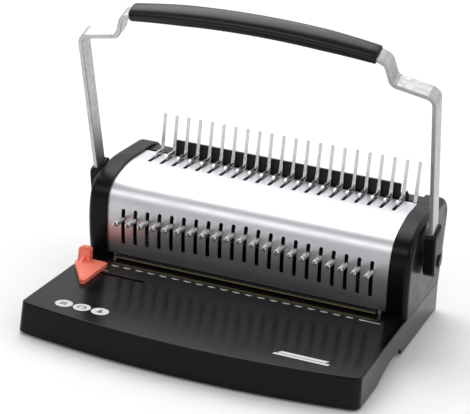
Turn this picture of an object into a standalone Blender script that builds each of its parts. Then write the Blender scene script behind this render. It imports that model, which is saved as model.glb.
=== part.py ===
"""Comb binding machine: a hand punch with a comb opener, built as an assembly of its own pieces.

Metres, +Z up, the front faces -Y, X = 0 at the middle die and Z = 0 under the rubber feet.
"""

import math

import bmesh
import bpy
from mathutils import Vector

MM = 0.001

# Clearances
GAP = 0.3 * MM  # between pieces that touch
RUN = 0.5 * MM  # round a piece that slides or turns

# Working lengths of cutters and joins
PAST = 2.0 * MM  # how far a cutter runs past a face
INTO = 3.0 * MM  # how far a joined shape runs into the other
THROUGH = 8.0 * MM  # how far a slot cutter runs past a curved skin
HAIR = 0.01 * MM  # keeps a cutter's corner off a face

# Die row: the standard plastic comb, 21 rings at 9/16 inch
PITCH = 14.2875 * MM
DIES = 21
HALF_ROW = PITCH * (DIES - 1) / 2

# Widths, from the outermost die outwards
BEYOND_LAST_PRONG = 4.6125 * MM  # from the extra prong to the end cap
CAP_WIDTH = 23.2 * MM
COVER_UNDER_CAP = 2.0 * MM
CAP_IN = HALF_ROW + PITCH + BEYOND_LAST_PRONG
CAP_OUT = CAP_IN + CAP_WIDTH
COVER_HALF = CAP_IN + COVER_UNDER_CAP

# Base housing
FOOT_STAND = 3.0 * MM
SKIRT_HEIGHT = 33.0 * MM
DECK_TOP = FOOT_STAND + SKIRT_HEIGHT
BASE_FRONT = -168.0 * MM
BASE_REAR = 168.0 * MM
FRONT_BOW = 20.0 * MM
BASE_CORNER = 8.0 * MM
WELL_ROOM = 1.5 * MM  # round the frames in the deck opening
DRAFT = 1.5 * MM
SKIRT_WALL = 2.6 * MM
DECK_THICK = 3.2 * MM
EDGE_ROUND = 2.0 * MM
ARC_STEPS = 16
SCOOP_REAR = 9.5 * MM
SCOOP_LENGTH = 98.0 * MM
SCOOP_HEIGHT = 10.5 * MM

# Feet and bottom plate
FOOT_RADIUS = 8.5 * MM
FOOT_SEAT_RADIUS = 11.0 * MM
FOOT_BESIDE_FRAME = 3.5 * MM  # from a side frame to the seat of a foot
FOOT_FRONT_INSET = 31.0 * MM
FOOT_REAR_INSET = 22.0 * MM
PLATE_LOW = 4.5 * MM
PLATE_THICK = 1.5 * MM
PLATE_TOP = PLATE_LOW + PLATE_THICK
SCOOP_NOTCH = 24.0 * MM

# Body skin: the curve of the covers, in Y and in height above the deck
SKIN_FOOT_Y = 25.0 * MM
SKIN_FRONT_Y = 12.1 * MM
SKIN_BULGE_Z = 62.0 * MM
SKIN_SHOULDER_Y = 38.5 * MM
SKIN_SHOULDER_DROP = 6.5 * MM
SKIN_FLAT_Y = 82.5 * MM
SKIN_HEIGHT = 101.0 * MM
CAP_PROUD = 3.0 * MM
BASE_LEDGE = 0.5 * MM
SKIN_REAR_Y = BASE_REAR - CAP_PROUD - BASE_LEDGE
REAR_RADIUS = 26.0 * MM
COVER_THICK = 1.2 * MM
COVER_FOOT_Z = 6.0 * MM
REAR_COVER_THICK = 2.0 * MM
REAR_COVER_SPLIT = 1.8 * MM  # from the back of the prong plate
CAP_WALL = 2.4 * MM
CAP_FILLET = 7.0 * MM
FILLET_STEPS = 4
CAP_SLOT_INSET = 14.0 * MM
CAP_SLOT_SHARE = 0.86  # of the skin's height
CAP_SLOT_HALF = 1.4 * MM
CAP_SLOT_RISE = 4.5 * MM
CAP_SLOT_LEAN = 2.6 * MM
CAP_SCREW_INSET = 9.0 * MM
CAP_SCREW_SHARE = 0.36  # of the skin's height
CAP_SCREW_RADIUS = 2.2 * MM

# Front slots and release pins
SLOT_WIDTH = 4.4 * MM
SLOT_ROUND = 0.98  # corner radius as a share of the half width
SLOT_LOW = 20.3 * MM
SLOT_LENGTH = 42.8 * MM
STAGGER = 9.0 * MM
PIN_BELOW_SLOT_TOP = 11.5 * MM
PIN_NECK_RADIUS = 1.3 * MM
NECK_ROOM = 7.5 * MM  # neck left behind the skin when a pin is pulled out
PIN_RADIUS = 3.1 * MM
PIN_PROUD = 21.0 * MM
PIN_KNOB_START = 1.2 * MM
PIN_HOLE_RADIUS = 1.6 * MM
PIN_HOLE_DEPTH = 1.6 * MM
PIN_TRAVEL = 7.0 * MM
PIN_SIDES = 8
PIN_LIP = 0.82  # radius of the knob's end as a share of its own
PIN_LIP_DEPTH = 0.7 * MM
PIN_HEEL_DEPTH = 0.5 * MM

# Top slots, opener rake and comb prongs
TOP_SLOT_WIDTH = 4.2 * MM
TOP_SLOT_ROUND = 0.9  # corner radius as a share of the half width
TOP_SLOT_FRONT = 76.5 * MM
TOP_SLOT_REAR = 111.0 * MM
COVER_REAR_Y = 115.1 * MM
RAKE_TRAVEL = 12.0 * MM
FINGER_THICK = 2.6 * MM
FINGER_STEM = 6.0 * MM
FINGER_HOOK = 24.0 * MM
FINGER_HOOK_HEIGHT = 4.2 * MM
FINGER_LIFT = 1.6 * MM
FINGER_TIP_RISE = 0.8 * MM
FINGER_TIP_DROP = 1.2 * MM
FINGER_NOSE = 3.0 * MM
FINGER_BACK_DROP = 2.2 * MM
FINGER_ROOM = 2.0 * MM  # left in a slot in front of the pulled finger
RAKE_BAR_DROP = 13.5 * MM
RAKE_BAR_THICK = 3.0 * MM
RAKE_BAR_DEPTH = 16.0 * MM
RAKE_LEAD = 5.0 * MM  # bar in front of the fingers
TONGUE_INSET = 3.0 * MM
PRONGS = DIES + 1
PRONG_HEIGHT = 48.0 * MM
PRONG_WIDTH = 4.6 * MM
PRONG_TAPER = 0.8  # width of the upper part as a share of the root's
PRONG_END = 0.45  # width of the flat at the tip, as a share
PLATE_BEYOND_PRONG = 3.14 * MM
PRONG_THICK = 1.8 * MM
PRONG_Y = 117.0 * MM
PLATE_SUNK = 1.0 * MM  # the roots of the prongs, under the top of the cover
REST_STRIP_HEIGHT = 15.5 * MM
REST_STRIP_THICK = 4.0 * MM
REST_STRIP_Y = 122.5 * MM
PEG_RADIUS = 3.2 * MM
PEG_HEIGHT = 9.0 * MM

# Punching parts
PUNCH_Y = 34.5 * MM
PUNCH_WIDTH = 8.0 * MM
PUNCH_DEPTH = 3.0 * MM
DIE_CLEARANCE = 0.15 * MM
DIE_THICK = 4.0 * MM
DIE_SUNK = 0.1 * MM  # under the deck, so that paper slides over it
DIE_FRONT = 25.5 * MM
DIE_REAR = 54.5 * MM
THROAT = 3.0 * MM
GUIDE_SHEET = 2.0 * MM
GUIDE_FRONT = 16.5 * MM
GUIDE_REAR = 52.5 * MM
GUIDE_HEIGHT = 12.0 * MM
GUIDE_UPPER_FRONT = 28.0 * MM
PAPER_DEPTH_BEHIND_HOLE = 4.0 * MM
STOP_DEPTH = 6.0 * MM
TIP_START = 1.5 * MM
RAM_TRAVEL = 22.0 * MM
RAM_FRONT = 27.5 * MM
RAM_REAR = 43.5 * MM
RAM_MARGIN = 3.0 * MM
PIN_SOCKET = 13.0 * MM
RAM_TONGUE_WIDTH = 6.0 * MM
RAM_TONGUE_HEIGHT = 12.0 * MM
LUG_THICK = 4.0 * MM
LUG_IN = 128.0 * MM
LUG_RIM = 3.5 * MM
SPRING_RADIUS = 2.4 * MM
SPRING_WIRE = 0.45 * MM
SPRING_TURNS = 6

# Side frames, shaft and cranks
FRAME_BESIDE_ROW = 9.6 * MM
FRAME_IN = HALF_ROW + FRAME_BESIDE_ROW
FRAME_THICK = 3.0 * MM
FRAME_FRONT = 25.0 * MM
FRAME_REAR = 158.0 * MM
FRAME_TOP_DROP = 6.5 * MM
FRAME_SHOULDER_DROP = 18.5 * MM
FRAME_CORNER = 8.0 * MM
FRAME_NOSE = 12.0 * MM  # from the skin's shoulder to the frame's top edge
SHAFT_Y = 71.5 * MM
SHAFT_Z = 56.5 * MM
SHAFT_RADIUS = 6.0 * MM
SHAFT_REACH = 0.35  # share of a hub's thickness that the shaft enters
FORWARD_SWING = math.radians(72.0)
BACK_SWING = math.radians(45.0)
CRANK_THICK = 5.0 * MM
CRANK_PIN_RADIUS = 3.0 * MM
CRANK_RIM = 1.5 * MM
CRANK_BOSS = 5.0 * MM
PIN_STUD_PROUD = 0.5 * MM
CRANK_RADIUS = RAM_TRAVEL / (2 * math.sin(FORWARD_SWING / 2))
OPENER_RADIUS = RAKE_TRAVEL / (2 * math.sin(BACK_SWING / 2))
OPENER_THICK = 4.0 * MM
RAKE_ARM_THICK = 3.0 * MM
RAKE_ARM_LIMB = 10.0 * MM
SWEEP_STEPS = 10
ARM_HEAD = 4.0 * MM  # how far the head of the arm hangs under the rake
ARM_RIM = 4.0 * MM  # steel round the slot
ARM_ROOM = 3.0 * MM  # between the shaft and the limb of the pulled arm
ARM_UNDER_SHAFT = 1.5 * MM
SLEEVE_RADIUS = 9.0 * MM

# Handle
HANDLE_LEAN = math.radians(22.5)
BAR_THICK = 5.0 * MM
BAR_WIDTH = 20.0 * MM
ARM_OUT = 9.0 * MM  # from the end cap's face to the middle of the arm
CORNER_UP = 219.5 * MM
SHOULDER_RUN = 44.5 * MM
SHOULDER_RISE = 9.0 * MM
STEP_RUN = 6.0 * MM
STEP_RISE = 23.0 * MM
GRIP_END_RUN = 9.5 * MM
GRIP_END_RISE = 4.5 * MM
GRIP_ARCH = 10.0 * MM
GRIP_DEPTH = 27.0 * MM
GRIP_HEIGHT = 16.5 * MM
HUB_SIDE_GAP = 2.6 * MM
HUB_THICK = 13.0 * MM
HUB_RADIUS = 18.0 * MM
HUB_UP = 42.0 * MM
HUB_TOP_WIDTH = 27.0 * MM
HUB_CORNER = 4.0 * MM
HUB_EDGE = 2.5 * MM
HUB_CAP_RADIUS = 7.0 * MM
HUB_CAP_THICK = 2.0 * MM
BAR_FOOT = 20.0 * MM

# Edge guide on the deck
PAPER_HALF = 148.5 * MM
GUIDE_EDGE_FRONT = -70.5 * MM
GUIDE_EDGE_REAR = -7.5 * MM
GUIDE_PLATE = 4.6 * MM
GUIDE_SPAN = 33.0 * MM
GUIDE_TAB_WIDTH = 14.0 * MM
GUIDE_TAB_DEPTH = 8.0 * MM
GUIDE_TAB_HEIGHT = 20.0 * MM
GUIDE_TRAVEL = 58.0 * MM
GUIDE_SLOT_Y = -28.5 * MM
GUIDE_SLOT_WIDTH = 5.0 * MM
GUIDE_BOSS = 10.0 * MM
GUIDE_NARROW = 5.0 * MM  # width of the edge's front end
GUIDE_CORNERS = (1.0 * MM, 2.0 * MM, 3.0 * MM, 4.0 * MM, 2.0 * MM)
GUIDE_TAB_ROUND = 4.0 * MM
GUIDE_TAB_SET = 0.5 * MM  # tab in front of the plate's rear end
CLAMP_THICK = 2.0 * MM
CLAMP_WIDTH = 14.0 * MM

# Chip tray
TRAY_FRONT = 21.5 * MM
TRAY_WALL = 1.6 * MM
TRAY_HEIGHT = 8.0 * MM
TRAY_PANEL_HEIGHT = 22.0 * MM
TRAY_SIDE_GAP = 1.5 * MM
TRAY_PULL = 6.0 * MM


# ---------------------------------------------------------------- materials


def finish_of(name, colour, roughness, metallic):
    """A Principled material."""
    material = bpy.data.materials.new(name)
    material.use_nodes = True
    shader = material.node_tree.nodes["Principled BSDF"]
    shader.inputs["Base Color"].default_value = (*colour, 1.0)
    shader.inputs["Roughness"].default_value = roughness
    shader.inputs["Metallic"].default_value = metallic
    material.diffuse_color = (*colour, 1.0)
    return material


def black_plastic(name):
    return finish_of(name, (0.018, 0.019, 0.021), 0.32, 0.0)


def black_rubber(name):
    return finish_of(name, (0.015, 0.015, 0.015), 0.8, 0.0)


def silver_cover(name):
    return finish_of(name, (0.62, 0.62, 0.65), 0.3, 1.0)


def satin_steel(name):
    return finish_of(name, (0.66, 0.66, 0.68), 0.28, 1.0)


def chrome(name):
    return finish_of(name, (0.72, 0.73, 0.75), 0.12, 1.0)


def raw_steel(name):
    return finish_of(name, (0.40, 0.40, 0.41), 0.42, 1.0)


def yellow_zinc(name):
    return finish_of(name, (0.70, 0.58, 0.26), 0.35, 1.0)


def red_plastic(name):
    return finish_of(name, (0.80, 0.09, 0.045), 0.4, 0.0)


# ---------------------------------------------------------------- shapes


def clear_scene():
    for item in list(bpy.data.objects):
        bpy.data.objects.remove(item, do_unlink=True)


def place(axis, first, second, along):
    """A point from two coordinates across an axis and one along it."""
    if axis == "X":
        return (along, first, second)
    if axis == "Y":
        return (first, along, second)
    return (first, second, along)


def add_loft(shape, rings):
    """Adds a closed body through rings of points with equal counts."""
    rows = [[shape.verts.new(point) for point in ring] for ring in rings]
    count = len(rows[0])
    for low, high in zip(rows, rows[1:]):
        for i in range(count):
            j = (i + 1) % count
            shape.faces.new((low[i], low[j], high[j], high[i]))
    shape.faces.new(rows[0][::-1])
    shape.faces.new(rows[-1])


def add_prism(shape, outline, axis, low, high):
    """Adds an outline of pairs, extruded along an axis."""
    rings = [[place(axis, a, b, along) for a, b in outline] for along in (low, high)]
    add_loft(shape, rings)


def add_box(shape, x, y, z):
    """Adds a box from three (low, high) pairs."""
    outline = [(x[0], y[0]), (x[1], y[0]), (x[1], y[1]), (x[0], y[1])]
    add_prism(shape, outline, "Z", z[0], z[1])


def circle(centre, radius, sides):
    """Pairs round a circle."""
    turn = 2 * math.pi / sides
    return [
        (centre[0] + radius * math.cos(turn * i), centre[1] + radius * math.sin(turn * i))
        for i in range(sides)
    ]


def add_turned(shape, centre, axis, profile, sides):
    """Adds a turned body: its profile is (radius, position along the axis) pairs."""
    rings = []
    for radius, along in profile:
        rings.append([place(axis, a, b, along) for a, b in circle(centre, radius, sides)])
    add_loft(shape, rings)


def fillet(points, radii, steps=4):
    """Rounds the corners of a closed outline; a radius of 0 keeps the corner."""
    result = []
    count = len(points)
    for i, (corner, radius) in enumerate(zip(points, radii)):
        here = Vector(corner)
        if radius <= 0:
            result.append(tuple(here))
            continue
        before = (Vector(points[i - 1]) - here).normalized()
        after = (Vector(points[(i + 1) % count]) - here).normalized()
        half = before.angle(after) / 2
        reach = radius / math.tan(half)
        centre = here + (before + after).normalized() * (radius / math.sin(half))
        start = here + before * reach - centre
        end = here + after * reach - centre
        sweep = start.angle(end)
        side = 1 if start.x * end.y - start.y * end.x > 0 else -1
        for step in range(steps + 1):
            turn = side * sweep * step / steps
            cos, sin = math.cos(turn), math.sin(turn)
            spoke = Vector((start.x * cos - start.y * sin, start.x * sin + start.y * cos))
            result.append(tuple(centre + spoke))
    return result


def offset_path(path, distance):
    """Moves an open path to its left by a distance."""
    result = []
    for i, point in enumerate(path):
        low = Vector(path[max(i - 1, 0)])
        high = Vector(path[min(i + 1, len(path) - 1)])
        along = (high - low).normalized()
        result.append((point[0] - along.y * distance, point[1] + along.x * distance))
    return result


def bezier(start, first, second, end, steps):
    """Points along a cubic curve, the start left out."""
    points = []
    for step in range(1, steps + 1):
        t = step / steps
        u = 1 - t
        weights = (u**3, 3 * u * u * t, 3 * u * t * t, t**3)
        corners = (start, first, second, end)
        points.append(tuple(sum(w * c[k] for w, c in zip(weights, corners)) for k in (0, 1)))
    return points


def as_object(name, shape):
    """Turns a bmesh into an object with its faces facing out."""
    bmesh.ops.recalc_face_normals(shape, faces=shape.faces)
    mesh = bpy.data.meshes.new(name)
    shape.to_mesh(mesh)
    shape.free()
    item = bpy.data.objects.new(name, mesh)
    bpy.context.collection.objects.link(item)
    return item


def node(name, shape, material, origin=(0, 0, 0)):
    """A finished sub-part with its origin on its joint axis."""
    item = as_object(name, shape)
    item.data.materials.append(material)
    for vertex in item.data.vertices:
        vertex.co -= Vector(origin)
    item.location = origin
    item.data.shade_smooth()
    item.data.set_sharp_from_angle(angle=math.radians(32))
    return item


def helper(name, shape):
    """A cutter or an added body for a Boolean."""
    item = as_object(name, shape)
    item.hide_render = True
    item.display_type = "WIRE"
    return item


def combine(item, other, operation):
    modifier = item.modifiers.new(other.name, "BOOLEAN")
    modifier.operation = operation
    modifier.solver = "EXACT"
    modifier.object = other


def cut(item, other):
    combine(item, other, "DIFFERENCE")


def join(item, other):
    combine(item, other, "UNION")


def die_x(number):
    """X of a die, counted from 1 at the left."""
    return (number - 1) * PITCH - HALF_ROW


def raised(number):
    """How much a die's slot and pin stand above the outermost ones."""
    middle = (DIES + 1) / 2
    return STAGGER * (1 - abs(number - middle) / (middle - 1))


def sides():
    """The names and directions of the two ends."""
    return (("left", -1), ("right", 1))


def span(side, near, far):
    """An X range mirrored to one side, low end first."""
    return tuple(sorted((side * near, side * far)))


# ---------------------------------------------------------------- body skin


def skin_path():
    """The outer line of the body from the deck at the front, over the top, to the deck behind."""
    top = DECK_TOP + SKIN_HEIGHT
    foot = (SKIN_FOOT_Y, DECK_TOP)
    bulge = (SKIN_FRONT_Y, DECK_TOP + SKIN_BULGE_Z)
    shoulder = (SKIN_SHOULDER_Y, top - SKIN_SHOULDER_DROP)
    flat = (SKIN_FLAT_Y, top)
    low_third = (SKIN_FOOT_Y - 0.55 * (SKIN_FOOT_Y - SKIN_FRONT_Y), DECK_TOP + 0.36 * SKIN_BULGE_Z)
    below = (SKIN_FRONT_Y, DECK_TOP + 0.7 * SKIN_BULGE_Z)
    above = (SKIN_FRONT_Y, DECK_TOP + SKIN_BULGE_Z + 0.55 * (SKIN_HEIGHT - SKIN_BULGE_Z))
    turn = (SKIN_FRONT_Y + 0.32 * (SKIN_SHOULDER_Y - SKIN_FRONT_Y), top - 1.8 * SKIN_SHOULDER_DROP)
    path = [foot]
    path += bezier(foot, low_third, below, bulge, 5)
    path += bezier(bulge, above, turn, shoulder, 7)
    reach = SKIN_FLAT_Y - SKIN_SHOULDER_Y
    rise = 0.35 * SKIN_SHOULDER_DROP
    ease = (SKIN_SHOULDER_Y + 0.3 * reach, top - rise)
    path += bezier(shoulder, ease, (SKIN_FLAT_Y - 0.4 * reach, top), flat, 4)
    centre = (SKIN_REAR_Y - REAR_RADIUS, top - REAR_RADIUS)
    for step in range(8):
        turn_by = math.pi / 2 * (1 - step / 7)
        y = centre[0] + REAR_RADIUS * math.cos(turn_by)
        path.append((y, centre[1] + REAR_RADIUS * math.sin(turn_by)))
    path.append((SKIN_REAR_Y, DECK_TOP))
    return path


def crossing(low, high, axis, value):
    """Where a straight run reaches a value of one coordinate."""
    share = (value - low[axis]) / (high[axis] - low[axis])
    return tuple(a + (b - a) * share for a, b in zip(low, high))


def beyond(path, axis, value):
    """The rest of a path from the first place where a coordinate rises past a value."""
    for i, (low, high) in enumerate(zip(path, path[1:])):
        if low[axis] <= value < high[axis]:
            return [crossing(low, high, axis, value)] + path[i + 1 :]
    return path


def front_skin():
    """From the cover's foot to its rear edge."""
    path = beyond(skin_path(), 1, DECK_TOP + COVER_FOOT_Z)
    rest = beyond(path, 0, COVER_REAR_Y)
    return path[: len(path) - len(rest) + 1] + rest[:1]


def rear_skin():
    """From behind the prongs down to the deck."""
    start = PRONG_Y + PRONG_THICK / 2 + REAR_COVER_SPLIT
    path = beyond(skin_path(), 0, start)
    path[-1] = (path[-1][0], DECK_TOP + GAP)
    return path


def add_strip(shape, path, thick, half):
    """Adds a sheet that follows a path, the path being its outer face."""
    inner = offset_path(path, -thick)
    inner[0] = (inner[0][0], max(inner[0][1], path[0][1]))
    add_prism(shape, path + inner[::-1], "X", -half, half)


# ---------------------------------------------------------------- base


def plan_outline(inset):
    """The base seen from above: straight sides and rear, bowed front."""
    half = CAP_OUT - inset
    rear = BASE_REAR - inset
    front = BASE_FRONT + inset
    corner = front + FRONT_BOW
    points = []
    for i in range(ARC_STEPS + 1):
        share = 2 * i / ARC_STEPS - 1
        points.append((half * share, corner - FRONT_BOW * (1 - share * share)))
    points += [(half, rear), (-half, rear)]
    round_by = max(BASE_CORNER - inset, 1.0 * MM)
    radii = [round_by] + [0] * (ARC_STEPS - 1) + [round_by, round_by, round_by]
    points_out = fillet(points, radii)
    return points_out


def plan_ring(inset, height):
    return [(x, y, height) for x, y in plan_outline(inset)]


def foot_places():
    """Where the four feet stand."""
    x = FRAME_IN + FRAME_THICK + FOOT_BESIDE_FRAME + FOOT_SEAT_RADIUS
    front = BASE_FRONT + FOOT_FRONT_INSET
    rear = BASE_REAR - FOOT_REAR_INSET
    return {"fl": (-x, front), "fr": (x, front), "rl": (-x, rear), "rr": (x, rear)}


def scoop_outline(lift):
    """The finger scoop in the lower edge of a side: steep behind, running out forwards."""
    low = FOOT_STAND - PAST
    shape = ((0, 0), (0.02, 0.55), (0.10, 0.86), (0.26, 1.0), (0.46, 0.88), (0.72, 0.5), (1, 0))
    outline = [(SCOOP_REAR, low)]
    for along, up in shape:
        outline.append((SCOOP_REAR - along * SCOOP_LENGTH, FOOT_STAND + up * lift + HAIR))
    outline.append((SCOOP_REAR - SCOOP_LENGTH, low))
    return outline


def tray_half():
    return FRAME_IN - TRAY_SIDE_GAP


def base_housing():
    shape = bmesh.new()
    rings = [
        plan_ring(-DRAFT, FOOT_STAND),
        plan_ring(0, DECK_TOP - EDGE_ROUND),
        plan_ring(0.3 * EDGE_ROUND, DECK_TOP - 0.3 * EDGE_ROUND),
        plan_ring(EDGE_ROUND, DECK_TOP),
    ]
    add_loft(shape, rings)
    housing = node("base_housing", shape, black_plastic("housing plastic"))

    inside = bmesh.new()
    under = FOOT_STAND - PAST / 2
    inner = [
        plan_ring(SKIRT_WALL - DRAFT, under),
        plan_ring(SKIRT_WALL, DECK_TOP - DECK_THICK),
    ]
    add_loft(inside, inner)
    cut(housing, helper("inside of the housing", inside))

    seats = bmesh.new()
    for place_xy in foot_places().values():
        profile = ((FOOT_SEAT_RADIUS, PLATE_LOW), (FOOT_SEAT_RADIUS, DECK_TOP - DECK_THICK / 2))
        add_turned(seats, place_xy, "Z", profile, 20)
    join(housing, helper("foot seats", seats))

    openings = bmesh.new()
    opening_half = FRAME_IN + FRAME_THICK + WELL_ROOM
    deck = (DECK_TOP - DECK_THICK - PAST, DECK_TOP + PAST)
    well = (FRAME_FRONT - RUN, FRAME_REAR + WELL_ROOM)
    add_box(openings, (-opening_half, opening_half), well, deck)
    slot_left = -(PAPER_HALF + GUIDE_SPAN / 2) - RUN
    slot_right = slot_left + GUIDE_BOSS + GUIDE_TRAVEL + 2 * RUN
    half_slot = GUIDE_SLOT_WIDTH / 2
    slot_y = (GUIDE_SLOT_Y - half_slot, GUIDE_SLOT_Y + half_slot)
    add_box(openings, (slot_left, slot_right), slot_y, deck)
    cut(housing, helper("deck openings", openings))

    rear = bmesh.new()
    across = tray_half() + RUN
    through = (BASE_REAR - 3 * SKIRT_WALL, BASE_REAR + 3 * DRAFT)
    add_box(rear, (-across, across), through, (PLATE_TOP, PLATE_TOP + TRAY_PANEL_HEIGHT + 2 * RUN))
    cut(housing, helper("tray opening", rear))

    for name, side in sides():
        scoop = bmesh.new()
        low, high = span(side, CAP_OUT - 3 * SKIRT_WALL, CAP_OUT + 3 * DRAFT)
        add_prism(scoop, scoop_outline(SCOOP_HEIGHT), "X", low, high)
        cut(housing, helper("scoop " + name, scoop))
    return housing


def base_plate():
    shape = bmesh.new()
    inset = SKIRT_WALL + GAP
    add_loft(shape, [plan_ring(inset, PLATE_LOW), plan_ring(inset, PLATE_TOP)])
    plate = node("base_plate", shape, raw_steel("bottom plate steel"))
    room = bmesh.new()
    heights = (PLATE_LOW - PAST, PLATE_TOP + PAST)
    reach = FOOT_SEAT_RADIUS + GAP
    for x, y in foot_places().values():
        across = sorted((2 * x, x - math.copysign(reach, x)))
        along = sorted((2 * y, y - math.copysign(reach, y)))
        add_box(room, across, along, heights)
    for _, side in sides():
        x_range = span(side, CAP_OUT - SCOOP_NOTCH, CAP_OUT * 1.2)
        add_box(room, x_range, (SCOOP_REAR - SCOOP_LENGTH, SCOOP_REAR), heights)
    cut(plate, helper("plate cut-outs", room))
    return plate


def feet():
    rubber = black_rubber("foot rubber")
    for name, place_xy in foot_places().items():
        shape = bmesh.new()
        top = PLATE_LOW - GAP
        profile = (
            (FOOT_RADIUS * 0.86, 0),
            (FOOT_RADIUS, top * 0.35),
            (FOOT_RADIUS, top),
        )
        add_turned(shape, place_xy, "Z", profile, 20)
        node("foot_" + name, shape, rubber)


def chip_tray():
    half = tray_half()
    low = PLATE_TOP + GAP
    shape = bmesh.new()
    rear = BASE_REAR + DRAFT * 0.6
    add_box(shape, (-half, half), (TRAY_FRONT, rear - TRAY_WALL), (low, low + TRAY_HEIGHT))
    tray = node("chip_tray", shape, black_plastic("tray plastic"))
    inside = bmesh.new()
    inner = half - TRAY_WALL
    lengths = (TRAY_FRONT + TRAY_WALL, rear - 2 * TRAY_WALL)
    add_box(inside, (-inner, inner), lengths, (low + TRAY_WALL, low + TRAY_HEIGHT + PAST))
    cut(tray, helper("inside of the tray", inside))
    panel = bmesh.new()
    height = TRAY_PANEL_HEIGHT
    add_box(panel, (-half, half), (rear - 2 * TRAY_WALL, rear), (low, low + height - GAP))
    join(tray, helper("tray panel", panel))
    grip = bmesh.new()
    grip_half = half / 4
    ends = [(-grip_half, low + height * 0.35), (grip_half, low + height * 0.35)]
    ends += [(grip_half, low + height * 0.72), (-grip_half, low + height * 0.72)]
    outline = fillet(ends, [height * 0.15] * 4)
    add_prism(grip, outline, "Y", rear - TRAY_WALL * 0.9, rear + PAST)
    cut(tray, helper("tray pull recess", grip))
    return tray


# ---------------------------------------------------------------- covers


def front_cover():
    shape = bmesh.new()
    add_strip(shape, front_skin(), COVER_THICK, COVER_HALF)
    cover = node("front_cover", shape, silver_cover("cover metal"))
    front = bmesh.new()
    top = bmesh.new()
    half = SLOT_WIDTH / 2
    top_half = TOP_SLOT_WIDTH / 2
    for number in range(1, DIES + 1):
        x = die_x(number)
        low = DECK_TOP + SLOT_LOW + raised(number)
        high = low + SLOT_LENGTH
        corners = [(x - half, low), (x + half, low), (x + half, high), (x - half, high)]
        radii = [0, 0, half * SLOT_ROUND, half * SLOT_ROUND]
        outline = fillet(corners, radii, 2)
        add_prism(front, outline, "Y", SKIN_FRONT_Y - THROUGH, SKIN_FOOT_Y + THROUGH)
        ends = [(x - top_half, TOP_SLOT_FRONT), (x + top_half, TOP_SLOT_FRONT)]
        ends += [(x + top_half, TOP_SLOT_REAR), (x - top_half, TOP_SLOT_REAR)]
        radii = [top_half * TOP_SLOT_ROUND, top_half * TOP_SLOT_ROUND, 0, 0]
        height = DECK_TOP + SKIN_HEIGHT
        add_prism(top, fillet(ends, radii, 2), "Z", height - THROUGH, height + THROUGH)
    cut(cover, helper("front slots", front))
    cut(cover, helper("top slots", top))
    return cover


def rear_cover():
    shape = bmesh.new()
    add_strip(shape, rear_skin(), REAR_COVER_THICK, COVER_HALF)
    return node("rear_cover", shape, black_plastic("rear cover plastic"))


def cap_ring(outward, x):
    """One outline of an end cap, at a distance outside the skin."""
    path = offset_path(skin_path(), outward)
    low = DECK_TOP + GAP
    path[0] = (path[0][0], low)
    path[-1] = (path[-1][0], low)
    return [(x, y, max(z, low)) for y, z in path]


def end_cap(name, side):
    shape = bmesh.new()
    rings = [cap_ring(CAP_PROUD, side * CAP_IN)]
    for step in range(FILLET_STEPS + 1):
        turn = math.pi / 2 * step / FILLET_STEPS
        inward = CAP_FILLET * (1 - math.cos(turn))
        x = CAP_OUT - CAP_FILLET * (1 - math.sin(turn))
        rings.append(cap_ring(CAP_PROUD - inward, side * x))
    add_loft(shape, rings)
    cap = node("end_cap_" + name, shape, black_plastic("cap plastic " + name))

    hollow = bmesh.new()
    inner = [cap_ring(CAP_PROUD - CAP_WALL, side * (CAP_IN - PAST))]
    depth = CAP_OUT - CAP_WALL
    inner.append(cap_ring(CAP_PROUD - CAP_WALL, side * (depth - CAP_FILLET)))
    inner.append(cap_ring(CAP_PROUD - CAP_WALL - CAP_FILLET * 0.35, side * (depth - CAP_FILLET * 0.3)))
    inner.append(cap_ring(CAP_PROUD - CAP_WALL - CAP_FILLET, side * depth))
    for points in inner:
        for i, point in enumerate(points):
            if point[2] < DECK_TOP + 2 * GAP:
                points[i] = (point[0], point[1], DECK_TOP - PAST)
    add_loft(hollow, inner)
    cut(cap, helper("inside of cap " + name, hollow))

    holes = bmesh.new()
    low, high = span(side, CAP_OUT - 2 * CAP_WALL, CAP_OUT + PAST)
    pivot = (SHAFT_Y, DECK_TOP + SHAFT_Z)
    add_turned(holes, pivot, "X", ((SLEEVE_RADIUS + RUN, low), (SLEEVE_RADIUS + RUN, high)), 24)
    slot_y = SKIN_REAR_Y - CAP_SLOT_INSET
    slot_z = DECK_TOP + CAP_SLOT_SHARE * SKIN_HEIGHT
    slot = [(slot_y + end * CAP_SLOT_HALF, slot_z - CAP_SLOT_RISE) for end in (-1, 1)]
    slot += [(slot_y + CAP_SLOT_LEAN + end * CAP_SLOT_HALF, slot_z + CAP_SLOT_RISE) for end in (1, -1)]
    add_prism(holes, slot, "X", low, high)
    screw = (SKIN_REAR_Y - CAP_SCREW_INSET, DECK_TOP + CAP_SCREW_SHARE * SKIN_HEIGHT)
    add_turned(holes, screw, "X", ((CAP_SCREW_RADIUS, low), (CAP_SCREW_RADIUS, high)), 12)
    cut(cap, helper("holes in cap " + name, holes))
    return cap


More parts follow.
